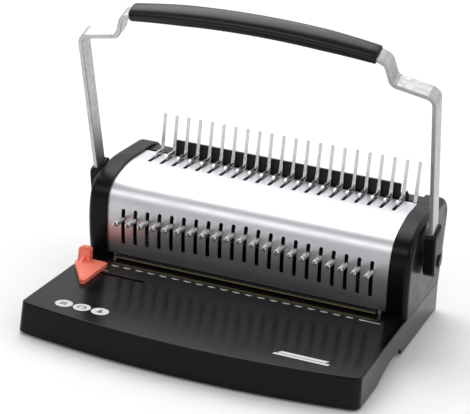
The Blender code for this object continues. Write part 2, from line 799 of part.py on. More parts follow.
def comb_rest():
    """The upright strip behind the prongs and the small cone at its right end."""
    top = DECK_TOP + SKIN_HEIGHT
    half = HALF_ROW - PITCH * 0.62
    shift = PITCH / 4  # towards the extra prong
    heights = (top + GAP, top + GAP + REST_STRIP_HEIGHT)
    shape = bmesh.new()
    left, right = shift - half, shift + half
    outline = [(left, heights[0]), (right, heights[0]), (right, heights[1]), (left, heights[1])]
    outline = fillet(outline, [0, 0, 2 * MM, 2 * MM])
    add_prism(shape, outline, "Y", REST_STRIP_Y, REST_STRIP_Y + REST_STRIP_THICK)
    node("comb_rest_strip", shape, black_plastic("rest strip plastic"))
    peg = bmesh.new()
    centre = (right + PITCH / 2, REST_STRIP_Y + REST_STRIP_THICK / 2)
    profile = (
        (PEG_RADIUS, heights[0]),
        (PEG_RADIUS * 0.8, heights[0] + PEG_HEIGHT * 0.5),
        (PEG_RADIUS * 0.35, heights[0] + PEG_HEIGHT),
    )
    add_turned(peg, centre, "Z", profile, 14)
    node("comb_stop_peg", peg, black_rubber("peg rubber"))


# ---------------------------------------------------------------- comb opener


def comb_plate():
    """The upright plate with 22 prongs: one more than the dies, at the right."""
    top = DECK_TOP + SKIN_HEIGHT
    low = top - FRAME_SHOULDER_DROP + GAP
    high = top - PLATE_SUNK
    left = -(FRAME_IN + FRAME_THICK)
    right = die_x(PRONGS) + PLATE_BEYOND_PRONG
    outline = [(left, low), (right, low)]
    half = PRONG_WIDTH / 2
    upper = half * PRONG_TAPER
    tip = high + PRONG_HEIGHT
    for number in range(PRONGS, 0, -1):
        x = die_x(number)
        outline += [
            (x + half, high),
            (x + upper, high + PRONG_HEIGHT / 2),
            (x + upper, tip - upper * 0.7),
            (x + half * PRONG_END, tip),
            (x - half * PRONG_END, tip),
            (x - upper, tip - upper * 0.7),
            (x - upper, high + PRONG_HEIGHT / 2),
            (x - half, high),
        ]
    outline[2] = (right, high)
    shape = bmesh.new()
    near = PRONG_Y - PRONG_THICK / 2
    add_prism(shape, outline, "Y", near, near + PRONG_THICK)
    return node("comb_plate", shape, chrome("prong chrome"))


def rake_heights():
    low = DECK_TOP + SKIN_HEIGHT - RAKE_BAR_DROP
    return low, low + RAKE_BAR_THICK


def opener_rake():
    """The sliding bar whose hooked fingers pull the comb open."""
    low, high = rake_heights()
    stem_front = TOP_SLOT_FRONT + RAKE_TRAVEL + FINGER_ROOM
    bar_front = stem_front - RAKE_LEAD
    half = FRAME_IN - RUN
    shape = bmesh.new()
    add_box(shape, (-half, half), (bar_front, bar_front + RAKE_BAR_DEPTH), (low, high))
    tongue_y = (bar_front + TONGUE_INSET, bar_front + RAKE_BAR_DEPTH - TONGUE_INSET)
    fingers = bmesh.new()
    hook_low = DECK_TOP + SKIN_HEIGHT + FINGER_LIFT
    hook_high = hook_low + FINGER_HOOK_HEIGHT
    for number in range(1, DIES + 1):
        x = die_x(number)
        reach = stem_front + FINGER_HOOK
        outline = [
            (stem_front, low + RAKE_BAR_THICK / 3),
            (stem_front + FINGER_STEM, low + RAKE_BAR_THICK / 3),
            (stem_front + FINGER_STEM, hook_low),
            (reach, hook_low + FINGER_TIP_RISE),
            (reach, hook_high - FINGER_TIP_DROP),
            (reach - FINGER_NOSE, hook_high - FINGER_TIP_DROP / 3),
            (stem_front + FINGER_NOSE, hook_high),
            (stem_front, hook_high - FINGER_BACK_DROP),
        ]
        add_prism(fingers, outline, "X", x - FINGER_THICK / 2, x + FINGER_THICK / 2)
    rake = node("opener_rake", shape, chrome("rake chrome"), (0, bar_front, low))
    join(rake, helper("rake fingers", fingers))
    ends = bmesh.new()
    for _, side in sides():
        reach = FRAME_IN + FRAME_THICK + 2 * RUN + RAKE_ARM_THICK / 2
        add_box(ends, span(side, half - INTO, reach), tongue_y, (low + GAP / 2, high - GAP / 2))
    join(rake, helper("rake tongues", ends))
    for name, side in sides():
        rake_arm(name, side, tongue_y)
    return tongue_y


def arm_x():
    """The X range of a rake arm, outside the side frame."""
    near = FRAME_IN + FRAME_THICK + 2 * RUN + RAKE_ARM_THICK / 2 + GAP
    return near, near + RAKE_ARM_THICK


def rake_arm(name, side, tongue_y):
    """The plate that hangs from the rake behind the shaft and hooks round the opener crank's pin.

    The hook is open behind, so that the pin swings free when the handle goes forward.
    """
    low, high = rake_heights()
    pivot_z = DECK_TOP + SHAFT_Z
    limb_front = SHAFT_Y + SHAFT_RADIUS + RAKE_TRAVEL + ARM_ROOM
    limb_rear = limb_front + RAKE_ARM_LIMB
    pin_y = SHAFT_Y + OPENER_RADIUS * math.sin(BACK_SWING / 2)
    foot_low = pivot_z - OPENER_RADIUS - CRANK_PIN_RADIUS - ARM_RIM
    foot_high = pivot_z - SHAFT_RADIUS - ARM_UNDER_SHAFT
    foot_front = pin_y - CRANK_PIN_RADIUS - RUN - ARM_RIM
    outline = [
        (foot_front, foot_low),
        (limb_rear, foot_low),
        (limb_rear, high),
        (tongue_y[0], high),
        (tongue_y[0], low - ARM_HEAD),
        (limb_front, low - 2 * ARM_HEAD),
        (limb_front, foot_high),
        (foot_front, foot_high),
    ]
    shape = bmesh.new()
    near, far = span(side, *arm_x())
    add_prism(shape, outline, "X", near, far)
    arm = node("rake_arm_" + name, shape, raw_steel("rake arm steel " + name), (0, pin_y, pivot_z))
    slot = bmesh.new()
    wide = CRANK_PIN_RADIUS + RUN
    deep = pivot_z - OPENER_RADIUS - CRANK_PIN_RADIUS - RUN
    across = (near - PAST, far + PAST)
    add_box(slot, across, (pin_y - wide, pin_y + wide), (deep, foot_high + PAST))
    cut(arm, helper("arm slot " + name, slot))
    sweep = bmesh.new()
    free_way = [(SHAFT_Y, pivot_z)]
    reach = OPENER_RADIUS + wide
    for step in range(SWEEP_STEPS + 1):
        turn = BACK_SWING / 2 + FORWARD_SWING * step / SWEEP_STEPS
        free_way.append((SHAFT_Y + reach * math.sin(turn), pivot_z - reach * math.cos(turn)))
    add_prism(sweep, free_way, "X", *across)
    cut(arm, helper("free way of the pin " + name, sweep))


# ---------------------------------------------------------------- punching parts


def die_plate():
    half = FRAME_IN - GAP
    shape = bmesh.new()
    low = DECK_TOP - DIE_THICK
    add_box(shape, (-half, half), (DIE_FRONT, DIE_REAR), (low, DECK_TOP - DIE_SUNK))
    plate = node("die_plate", shape, raw_steel("die steel"))
    holes = bmesh.new()
    punch_holes(holes, low - PAST, DECK_TOP + PAST)
    cut(plate, helper("die holes", holes))
    return plate


def punch_holes(shape, low, high):
    """Adds the oblong holes that the punches pass through."""
    half_x = PUNCH_WIDTH / 2 + DIE_CLEARANCE
    half_y = PUNCH_DEPTH / 2 + DIE_CLEARANCE
    for number in range(1, DIES + 1):
        x = die_x(number)
        across = (x - half_x, x + half_x)
        add_box(shape, across, (PUNCH_Y - half_y, PUNCH_Y + half_y), (low, high))


def guide_heights():
    low = DECK_TOP + THROAT
    return low, low + GUIDE_HEIGHT


def punch_guide():
    """The folded channel that keeps the punches straight; its front edge shows under the cover."""
    low, high = guide_heights()
    half = FRAME_IN - GAP
    outline = [
        (GUIDE_FRONT, low),
        (GUIDE_REAR, low),
        (GUIDE_REAR, high),
        (GUIDE_UPPER_FRONT, high),
        (GUIDE_UPPER_FRONT, high - GUIDE_SHEET),
        (GUIDE_REAR - GUIDE_SHEET, high - GUIDE_SHEET),
        (GUIDE_REAR - GUIDE_SHEET, low + GUIDE_SHEET),
        (GUIDE_FRONT, low + GUIDE_SHEET),
    ]
    shape = bmesh.new()
    add_prism(shape, outline, "X", -half, half)
    guide = node("punch_guide", shape, yellow_zinc("guide zinc"))
    holes = bmesh.new()
    punch_holes(holes, low - PAST, high + PAST)
    cut(guide, helper("guide holes", holes))
    return guide


def paper_stop():
    """The strip that the edge of the paper meets behind the dies."""
    front = PUNCH_Y + PAPER_DEPTH_BEHIND_HOLE
    half = FRAME_IN - GAP
    shape = bmesh.new()
    heights = (DECK_TOP + GAP, DECK_TOP + THROAT - GAP)
    add_box(shape, (-half, half), (front, front + STOP_DEPTH), heights)
    return node("paper_stop", shape, raw_steel("stop steel"))


def pin_height(number):
    """Height of a release pin with the ram up."""
    return DECK_TOP + SLOT_LOW + SLOT_LENGTH - PIN_BELOW_SLOT_TOP + raised(number)


def ram_heights():
    low = pin_height(1) - PIN_RADIUS - RAM_MARGIN
    middle = (DIES + 1) // 2
    return low, pin_height(middle) + PIN_RADIUS + RAM_MARGIN


def crank_pin_start():
    """Y and Z of the crank pin with the ram up."""
    reach = CRANK_RADIUS * math.cos(FORWARD_SWING / 2)
    return SHAFT_Y - reach, DECK_TOP + SHAFT_Z + RAM_TRAVEL / 2


def ram():
    """The beam that drives the punches, with the 21 punches in it and a lug at each end."""
    low, high = ram_heights()
    half = FRAME_IN - RUN
    shape = bmesh.new()
    add_box(shape, (-half, half), (RAM_FRONT, RAM_REAR), (low, high))
    beam = node("ram_with_punches", shape, raw_steel("ram steel"), (0, PUNCH_Y, low))
    punches = bmesh.new()
    for number in range(1, DIES + 1):
        x = die_x(number)
        tip = DECK_TOP + THROAT + TIP_START + raised(number)
        across = (x - PUNCH_WIDTH / 2, x + PUNCH_WIDTH / 2)
        depth = (PUNCH_Y - PUNCH_DEPTH / 2, PUNCH_Y + PUNCH_DEPTH / 2)
        add_box(punches, across, depth, (tip, low + INTO))
    join(beam, helper("punches", punches))
    extras = bmesh.new()
    middle = (low + high) / 2
    pin_y, pin_z = crank_pin_start()
    front_of_travel = SHAFT_Y - CRANK_RADIUS
    wide = CRANK_PIN_RADIUS + RUN
    lug_rear = pin_y + wide + LUG_RIM
    lug_heights = (pin_z - wide - LUG_RIM, pin_z + wide + LUG_RIM)
    for _, side in sides():
        reach = FRAME_IN + FRAME_THICK
        tongue_y = (PUNCH_Y - RAM_TONGUE_WIDTH / 2, PUNCH_Y + RAM_TONGUE_WIDTH / 2)
        tongue_z = (middle - RAM_TONGUE_HEIGHT / 2, middle + RAM_TONGUE_HEIGHT / 2)
        add_box(extras, span(side, half - INTO, reach), tongue_y, tongue_z)
        across = span(side, LUG_IN, LUG_IN + LUG_THICK)
        add_box(extras, across, (RAM_REAR - INTO, lug_rear), lug_heights)
    join(beam, helper("ram tongues and lugs", extras))
    room = bmesh.new()
    for number in range(1, DIES + 1):
        centre = (die_x(number), pin_height(number))
        socket = PIN_RADIUS + RUN / 2
        profile = ((socket, RAM_FRONT - PAST), (socket, RAM_FRONT + PIN_SOCKET))
        add_turned(room, centre, "Y", profile, PIN_SIDES)
    for _, side in sides():
        across = span(side, LUG_IN - PAST, LUG_IN + LUG_THICK + PAST)
        lengths = (front_of_travel - wide, pin_y + wide)
        add_box(room, across, lengths, (pin_z - wide, pin_z + wide))
    cut(beam, helper("pin sockets and lug slots", room))


def release_pins():
    """One pull pin per die: shank in the ram, neck in the slot, hollow-ended knob outside."""
    metal = chrome("pin chrome")
    inner = RAM_FRONT + PIN_SOCKET - RUN
    outer = SKIN_FRONT_Y - PIN_PROUD
    neck_out = SKIN_FRONT_Y - PIN_KNOB_START
    neck_in = SKIN_FRONT_Y + PIN_TRAVEL + NECK_ROOM
    for number in range(1, DIES + 1):
        shape = bmesh.new()
        centre = (die_x(number), pin_height(number))
        profile = (
            (PIN_HOLE_RADIUS, outer + PIN_HOLE_DEPTH),
            (PIN_HOLE_RADIUS, outer),
            (PIN_RADIUS * PIN_LIP, outer),
            (PIN_RADIUS, outer + PIN_LIP_DEPTH),
            (PIN_RADIUS, neck_out - PIN_HEEL_DEPTH),
            (PIN_RADIUS * PIN_LIP, neck_out),
            (PIN_NECK_RADIUS, neck_out),
            (PIN_NECK_RADIUS, neck_in),
            (PIN_RADIUS, neck_in),
            (PIN_RADIUS, inner),
        )
        add_turned(shape, centre, "Y", profile, PIN_SIDES)
        origin = (centre[0], SKIN_FRONT_Y, centre[1])
        node(f"release_pin_{number:02d}", shape, metal, origin)


def add_coil(shape, centre, radius, wire, turns, low, high):
    """Adds a coil spring standing on Z."""
    steps = 8 * turns
    rings = []
    rise = (high - low - 2 * wire) / steps
    for step in range(steps + 1):
        turn = 2 * math.pi * step / 8
        out = Vector((math.cos(turn), math.sin(turn), 0))
        middle = Vector((centre[0], centre[1], low + wire + rise * step)) + out * radius
        ring = []
        for i in range(4):
            around = 2 * math.pi * i / 4
            ring.append(middle + out * (wire * math.cos(around)) + Vector((0, 0, wire * math.sin(around))))
        rings.append(ring)
    add_loft(shape, rings)


def ram_springs():
    """Two coils that push the ram up again."""
    low = guide_heights()[1] + GAP
    high = ram_heights()[0] - GAP
    for name, side in sides():
        x = side * (HALF_ROW - PITCH * 1.5)
        shape = bmesh.new()
        add_coil(shape, (x, PUNCH_Y), SPRING_RADIUS, SPRING_WIRE, SPRING_TURNS, low, high)
        node("ram_spring_" + name, shape, raw_steel("spring steel " + name))


def side_frame(name, side, tongue_y):
    top = DECK_TOP + SKIN_HEIGHT - FRAME_TOP_DROP
    low = PLATE_TOP + GAP
    shoulder = DECK_TOP + SKIN_HEIGHT - FRAME_SHOULDER_DROP
    bulge = DECK_TOP + SKIN_BULGE_Z
    outline = [
        (FRAME_FRONT, low),
        (FRAME_REAR, low),
        (FRAME_REAR, shoulder - FRAME_CORNER),
        (FRAME_REAR - FRAME_CORNER, shoulder),
        (PRONG_Y - FRAME_CORNER, shoulder),
        (PRONG_Y - FRAME_CORNER, top),
        (SKIN_SHOULDER_Y + FRAME_NOSE, top),
        (FRAME_FRONT, bulge + FRAME_CORNER),
    ]
    outline.reverse()
    shape = bmesh.new()
    near, far = span(side, FRAME_IN, FRAME_IN + FRAME_THICK)
    add_prism(shape, outline, "X", near, far)
    frame = node("side_frame_" + name, shape, raw_steel("frame steel " + name))
    room = bmesh.new()
    past = (near - PAST, far + PAST)
    bore = SHAFT_RADIUS + RUN / 2
    pivot = (SHAFT_Y, DECK_TOP + SHAFT_Z)
    add_turned(room, pivot, "X", ((bore, past[0]), (bore, past[1])), 24)
    rake_low, rake_high = rake_heights()
    slot_y = (tongue_y[0] - RAKE_TRAVEL - RUN, tongue_y[1] + RUN)
    add_box(room, past, slot_y, (rake_low - GAP, rake_high + GAP))
    ram_low, ram_high = ram_heights()
    middle = (ram_low + ram_high) / 2
    half = RAM_TONGUE_WIDTH / 2 + RUN
    slot_z = (middle - RAM_TONGUE_HEIGHT / 2 - RAM_TRAVEL - RUN, middle + RAM_TONGUE_HEIGHT / 2 + RUN)
    add_box(room, past, (PUNCH_Y - half, PUNCH_Y + half), slot_z)
    cut(frame, helper("openings in frame " + name, room))
    return frame


# ---------------------------------------------------------------- shaft and cranks


def pivot_point():
    return (0, SHAFT_Y, DECK_TOP + SHAFT_Z)


def shaft_end():
    """How far the shaft reaches into the hubs."""
    return CAP_OUT + HUB_SIDE_GAP + HUB_THICK * SHAFT_REACH


def punch_shaft():
    """The round shaft through the frames and caps, with a crank near each end."""
    pivot = (SHAFT_Y, DECK_TOP + SHAFT_Z)
    end = shaft_end()
    shape = bmesh.new()
    chamfer = 1 * MM
    profile = (
        (SHAFT_RADIUS - chamfer, -end),
        (SHAFT_RADIUS, -end + chamfer),
        (SHAFT_RADIUS, end - chamfer),
        (SHAFT_RADIUS - chamfer, end),
    )
    add_turned(shape, pivot, "X", profile, 24)
    return node("punch_shaft", shape, raw_steel("shaft steel"), pivot_point())


def add_arm(shape, centre, target, round_by, tip_by, x_range):
    """Adds a crank plate: a rounded link from a centre to a target in Y and Z."""
    start = Vector(centre)
    end = Vector(target)
    heading = math.atan2(end.y - start.y, end.x - start.x)
    outline = []
    for i in range(13):
        turn = heading + math.pi / 2 + math.pi * i / 12
        outline.append((start.x + round_by * math.cos(turn), start.y + round_by * math.sin(turn)))
    for i in range(9):
        turn = heading - math.pi / 2 + math.pi * i / 8
        outline.append((end.x + tip_by * math.cos(turn), end.y + tip_by * math.sin(turn)))
    add_prism(shape, outline, "X", x_range[0], x_range[1])


def ram_crank(name, side):
    """A crank clamped on the shaft; its pin pushes the ram down."""
    pivot = (SHAFT_Y, DECK_TOP + SHAFT_Z)
    pin = crank_pin_start()
    near = LUG_IN + LUG_THICK + RUN
    shape = bmesh.new()
    plate_x = span(side, near, near + CRANK_THICK)
    add_arm(shape, pivot, pin, SHAFT_RADIUS + CRANK_BOSS, CRANK_PIN_RADIUS + CRANK_RIM, plate_x)
    crank = node("ram_crank_" + name, shape, raw_steel("crank steel " + name), pivot_point())
    stud = bmesh.new()
    low, high = span(side, LUG_IN - PIN_STUD_PROUD, near + CRANK_THICK / 2)
    add_turned(stud, pin, "X", ((CRANK_PIN_RADIUS, low), (CRANK_PIN_RADIUS, high)), 16)
    join(crank, helper("crank stud " + name, stud))
    bore = bmesh.new()
    low, high = span(side, near - PAST, near + CRANK_THICK + PAST)
    hole = SHAFT_RADIUS + GAP
    add_turned(bore, pivot, "X", ((hole, low), (hole, high)), 24)
    cut(crank, helper("crank bore " + name, bore))


def opener_crank(name, side):
    """The sleeve that turns with the handle inside the cap; its pin moves the rake arm."""
    pivot = (SHAFT_Y, DECK_TOP + SHAFT_Z)
    half_swing = BACK_SWING / 2
    pin = (pivot[0] + OPENER_RADIUS * math.sin(half_swing), pivot[1] - OPENER_RADIUS * math.cos(half_swing))
    near = arm_x()[1] + RUN
    shape = bmesh.new()
    plate_x = span(side, near, near + OPENER_THICK)
    add_arm(shape, pivot, pin, SLEEVE_RADIUS, CRANK_PIN_RADIUS + CRANK_RIM, plate_x)
    crank = node("opener_crank_" + name, shape, raw_steel("opener steel " + name), pivot_point())
    extra = bmesh.new()
    low, high = span(side, arm_x()[0] - PIN_STUD_PROUD, near + OPENER_THICK / 2)
    add_turned(extra, pin, "X", ((CRANK_PIN_RADIUS, low), (CRANK_PIN_RADIUS, high)), 16)
    join(crank, helper("opener stud " + name, extra))
    sleeve = bmesh.new()
    low, high = span(side, near + OPENER_THICK / 2, CAP_OUT + HUB_SIDE_GAP - GAP)
    add_turned(sleeve, pivot, "X", ((SLEEVE_RADIUS, low), (SLEEVE_RADIUS, high)), 24)
    join(crank, helper("opener sleeve " + name, sleeve))
    bore = bmesh.new()
    low, high = span(side, near - PAST, CAP_OUT + HUB_THICK)
    hole = SHAFT_RADIUS + GAP
    add_turned(bore, pivot, "X", ((hole, low), (hole, high)), 24)
    cut(crank, helper("opener bore " + name, bore))


# ---------------------------------------------------------------- handle


def arm_x_middle():
    return CAP_OUT + ARM_OUT


def handle_corners():
    """The bar's middle line on the right: X, distance up the lean, bend radius."""
    x = arm_x_middle()
    up = CORNER_UP
    corners = [(x, BAR_FOOT, 0.0), (x, up, 10 * MM)]
    x -= SHOULDER_RUN
    up += SHOULDER_RISE
    corners.append((x, up, 8 * MM))
    x -= STEP_RUN
    up += STEP_RISE
    corners.append((x, up, 8 * MM))
    x -= GRIP_END_RUN
    up += GRIP_END_RISE
    corners.append((x, up, 0.0))
    return corners


def grip_line():
    """The arch of the bar inside the grip, right to left."""
    x_end, up_end, _ = handle_corners()[-1]
    points = []
    steps = 14
    for i in range(steps + 1):
        share = 1 - 2 * i / steps
        points.append((x_end * share, up_end + GRIP_ARCH * (1 - share * share)))
    return points


def handle_line():
    """The whole middle line of the bar from one foot to the other."""
    right = handle_corners()
    points = [(x, up) for x, up, _ in right[:-1]]
    radii = [radius for _, _, radius in right[:-1]]
    arch = grip_line()
    points += arch
    radii += [0.0] * len(arch)
    points += [(-x, up) for x, up, _ in right[:-1]][::-1]
    radii += [radius for _, _, radius in right[:-1]][::-1]
    line = fillet(points, radii)
    return line


def leaning(x, up, across):
    """A world point from the handle's own coordinates: X, up the lean, and to the rear across it."""
    y = SHAFT_Y - up * math.sin(HANDLE_LEAN) + across * math.cos(HANDLE_LEAN)
    z = DECK_TOP + SHAFT_Z + up * math.cos(HANDLE_LEAN) + across * math.sin(HANDLE_LEAN)
    return (x, y, z)


def add_bar(shape, line, thick, width):
    """Adds a flat bar bent along a line in the handle's plane."""
    one = offset_path(line, thick / 2)
    other = offset_path(line, -thick / 2)
    outline = one + other[::-1]
    rings = []
    for across in (-width / 2, width / 2):
        rings.append([leaning(x, up, across) for x, up in outline])
    add_loft(shape, rings)


def handle_bar():
    shape = bmesh.new()
    add_bar(shape, handle_line(), BAR_THICK, BAR_WIDTH)
    bar = node("handle_bar", shape, satin_steel("bar steel"), pivot_point())
    return bar


def grip_section(share):
    """Half-height and half-depth of the grip along its length."""
    ease = min(1.0, 0.86 + 0.14 * math.sin(math.pi * (1 - abs(share)) * 0.5) * 1.6)
    return GRIP_HEIGHT / 2 * ease, GRIP_DEPTH / 2 * ease


def handle_grip():
    """The moulded grip: an oval section with a ridge, following the arch."""
    x_end, up_end, _ = handle_corners()[-1]
    shape = bmesh.new()
    rings = []
    stations = 15
    around = 20
    for i in range(stations):
        share = 1 - 2 * i / (stations - 1)
        x = x_end * share
        middle = up_end + GRIP_ARCH * (1 - share * share)
        half_up, half_across = grip_section(share)
        slope = 2 * GRIP_ARCH * share / x_end
        ring = []
        for j in range(around):
            turn = 2 * math.pi * j / around
            cos, sin = math.cos(turn), math.sin(turn)
            square = (abs(cos) ** 2.6 + abs(sin) ** 2.6) ** (-1 / 2.6)
            across = half_across * cos * square
            rise = half_up * sin * square
            tilt = rise * slope + (0.35 * rise if i in (0, stations - 1) else 0) * math.copysign(1, -share)
            ring.append(leaning(x + tilt, middle + rise, across))
        rings.append(ring)
    add_loft(shape, rings)
    grip = node("handle_grip", shape, black_rubber("grip rubber"), pivot_point())
    channel = bmesh.new()
    line = grip_line()
    step = (line[0][0] - line[1][0]) * 0.9
    drop = line[1][1] - line[0][1]
    longer = [(line[0][0] + step, line[0][1] - drop)] + line + [(line[-1][0] - step, line[-1][1] - drop)]
    add_bar(channel, longer, BAR_THICK + 2 * RUN, BAR_WIDTH + 2 * RUN)
    cut(grip, helper("grip channel", channel))
    return grip


def hub(name, side):
    """The lever hub outside an end cap: it holds the foot of the bar and turns on the shaft."""
    inner = CAP_OUT + HUB_SIDE_GAP
    outer = inner + HUB_THICK
    corners = []
    for i in range(13):
        turn = math.pi + math.pi * i / 12
        corners.append((HUB_RADIUS * math.cos(turn), HUB_RADIUS * math.sin(turn)))
    half_top = HUB_TOP_WIDTH / 2
    corners += [(half_top, HUB_UP - HUB_CORNER), (half_top - HUB_CORNER, HUB_UP)]
    corners += [(-half_top + HUB_CORNER, HUB_UP), (-half_top, HUB_UP - HUB_CORNER)]
    shape = bmesh.new()
    rings = []
    for x, shrink in ((inner, 0), (outer - HUB_EDGE, 0), (outer - 0.3 * HUB_EDGE, 0.3), (outer, 1.0)):
        scale = 1 - shrink * HUB_EDGE / HUB_RADIUS
        rings.append([leaning(side * x, up * scale, across * scale) for across, up in corners])
    add_loft(shape, rings)
    piece = node("hub_" + name, shape, black_plastic("hub plastic " + name), pivot_point())
    pocket = bmesh.new()
    x = side * arm_x_middle()
    foot = [(x, BAR_FOOT - GAP), (x, HUB_UP + PAST)]
    add_bar(pocket, foot, BAR_THICK + 2 * GAP, BAR_WIDTH + 2 * GAP)
    cut(piece, helper("bar pocket " + name, pocket))
    bore = bmesh.new()
    low, high = span(side, inner - PAST, shaft_end() + GAP)
    hole = SHAFT_RADIUS + GAP
    pivot = (SHAFT_Y, DECK_TOP + SHAFT_Z)
    add_turned(bore, pivot, "X", ((hole, low), (hole, high)), 24)
    cut(piece, helper("hub bore " + name, bore))
    cover = bmesh.new()
    low, high = outer + GAP, outer + GAP + HUB_CAP_THICK
    profile = ((HUB_CAP_RADIUS, side * low), (HUB_CAP_RADIUS * 0.85, side * high))
    add_turned(cover, pivot, "X", profile, 20)
    node("hub_cap_" + name, cover, black_plastic("hub cap plastic " + name), pivot_point())
    return piece


# ---------------------------------------------------------------- edge guide


def edge_guide():
    """The sliding side guide: a long straight edge for the paper and an upright thumb tab."""
    right = -PAPER_HALF
    left = right - GUIDE_SPAN
    low = DECK_TOP + GAP
    rear = GUIDE_EDGE_REAR
    tab_front = rear - GUIDE_TAB_DEPTH
    outline = [
        (right, GUIDE_EDGE_FRONT),
        (right, rear),
        (left, rear),
        (left, rear - 2 * GUIDE_TAB_DEPTH),
        (right - GUIDE_NARROW, GUIDE_EDGE_FRONT),
    ]
    outline = fillet(outline, GUIDE_CORNERS, 3)
    shape = bmesh.new()
    add_prism(shape, outline, "Z", low, low + GUIDE_PLATE)
    boss_left = -(PAPER_HALF + GUIDE_SPAN / 2)
    origin = (boss_left, GUIDE_SLOT_Y, DECK_TOP)
    guide = node("edge_guide", shape, red_plastic("guide plastic"), origin)
    tab = bmesh.new()
    high = DECK_TOP + GUIDE_TAB_HEIGHT
    sunk = low + GUIDE_PLATE / 4
    corners = [(left, sunk), (left + GUIDE_TAB_WIDTH, sunk)]
    corners += [(left + GUIDE_TAB_WIDTH, high), (left, high)]
    radii = [0, 0, GUIDE_TAB_ROUND, GUIDE_TAB_ROUND]
    add_prism(tab, fillet(corners, radii, 4), "Y", tab_front, rear - GUIDE_TAB_SET)
    join(guide, helper("guide tab", tab))
    boss = bmesh.new()
    half = GUIDE_SLOT_WIDTH / 2 - RUN
    under = DECK_TOP - DECK_THICK - GAP
    lengths = (GUIDE_SLOT_Y - half, GUIDE_SLOT_Y + half)
    add_box(boss, (boss_left, boss_left + GUIDE_BOSS), lengths, (under - CLAMP_THICK / 2, low + INTO))
    join(guide, helper("guide boss", boss))
    clamp = bmesh.new()
    middle = boss_left + GUIDE_BOSS / 2
    reach = CLAMP_WIDTH / 2
    across = (middle - reach, middle + reach)
    depth = (GUIDE_SLOT_Y - reach, GUIDE_SLOT_Y + reach)
    add_box(clamp, across, depth, (under - CLAMP_THICK, under))
    keeper = node("edge_guide_keeper", clamp, raw_steel("keeper steel"), origin)
    socket = bmesh.new()
    room_x = (boss_left - GAP, boss_left + GUIDE_BOSS + GAP)
    room_y = (lengths[0] - GAP, lengths[1] + GAP)
    add_box(socket, room_x, room_y, (under - CLAMP_THICK / 2 - GAP, under + PAST))
    cut(keeper, helper("keeper socket", socket))


# ---------------------------------------------------------------- assembly


def build():
    clear_scene()
    base_housing()
    base_plate()
    feet()
    chip_tray()
    front_cover()
    rear_cover()
    comb_rest()
    comb_plate()
    tongue_y = opener_rake()
    die_plate()
    punch_guide()
    paper_stop()
    ram()
    release_pins()
    ram_springs()
    punch_shaft()
    handle_bar()
    handle_grip()
    for name, side in sides():
        end_cap(name, side)
        side_frame(name, side, tongue_y)
        ram_crank(name, side)
        opener_crank(name, side)
        hub(name, side)
    edge_guide()


build()
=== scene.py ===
# %% [markdown]
# # A comb binding machine, dressed for a studio shot
#
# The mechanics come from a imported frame: every solid already has its real size and its place, and
# every moving body its joint. This lesson adds the looks. Visible skins are made again with finer
# curves and softened edges, each one standing for the solid it covers, and everything gets a finish
# made of shader nodes.

# %% Load the frame
import math

import bmesh
import bpy
from mathutils import Matrix, Vector


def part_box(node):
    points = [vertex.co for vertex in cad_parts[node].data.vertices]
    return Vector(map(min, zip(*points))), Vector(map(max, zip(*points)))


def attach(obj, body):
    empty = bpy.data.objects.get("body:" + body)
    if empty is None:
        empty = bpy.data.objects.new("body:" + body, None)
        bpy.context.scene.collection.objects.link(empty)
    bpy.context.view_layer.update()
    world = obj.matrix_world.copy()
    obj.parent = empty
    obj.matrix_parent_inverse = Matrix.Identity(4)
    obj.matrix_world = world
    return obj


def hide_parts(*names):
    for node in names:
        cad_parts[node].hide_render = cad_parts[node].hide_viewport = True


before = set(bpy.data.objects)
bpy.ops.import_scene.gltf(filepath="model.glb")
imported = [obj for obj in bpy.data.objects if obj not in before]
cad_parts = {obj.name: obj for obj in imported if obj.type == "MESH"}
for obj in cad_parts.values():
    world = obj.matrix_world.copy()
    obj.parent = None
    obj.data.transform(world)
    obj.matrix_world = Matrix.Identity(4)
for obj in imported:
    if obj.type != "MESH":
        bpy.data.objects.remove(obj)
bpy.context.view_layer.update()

MM = 0.001

# %% [markdown]
# ## Sizes read from the frame
#
# A good habit is to read a size where it already exists. The boxes of the solids give the deck, the
# covers, the caps and the shaft, so the new skins land exactly where the mechanics expect them.

# %% Places shared by several pieces
base_low, base_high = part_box("base_housing")
cover_low, cover_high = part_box("front_cover")
cap_low, cap_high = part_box("end_cap_right")
rear_low, rear_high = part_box("rear_cover")
shaft_low, shaft_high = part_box("punch_shaft")

deck_top = base_high.z
skin_top = cover_high.z
skin_front = cover_low.y
skin_rear = rear_high.y
cap_in = cap_low.x
cap_out = cap_high.x
cap_proud = cap_high.y - skin_rear
shaft_y = (shaft_low.y + shaft_high.y) / 2
shaft_z = (shaft_low.z + shaft_high.z) / 2

PITCH = 14.2875 * MM
DIES = 21
ENDS = (("left", -1), ("right", 1))


def die_x(number):
    """X of a die, counted from 1 at the left."""
    return (number - (DIES + 1) / 2) * PITCH


print("deck", round(deck_top / MM, 1), "mm, covers to", round(skin_top / MM, 1), "mm")

# %% [markdown]
# ## Shapes
#
# Sheet-metal and moulded parts are almost all lofts: an outline carried along a direction, or a row
# of outlines joined ring to ring. A few small helpers cover them. Round corners come from true arcs,
# so a corner looks round at any distance.

# %% Helpers for outlines


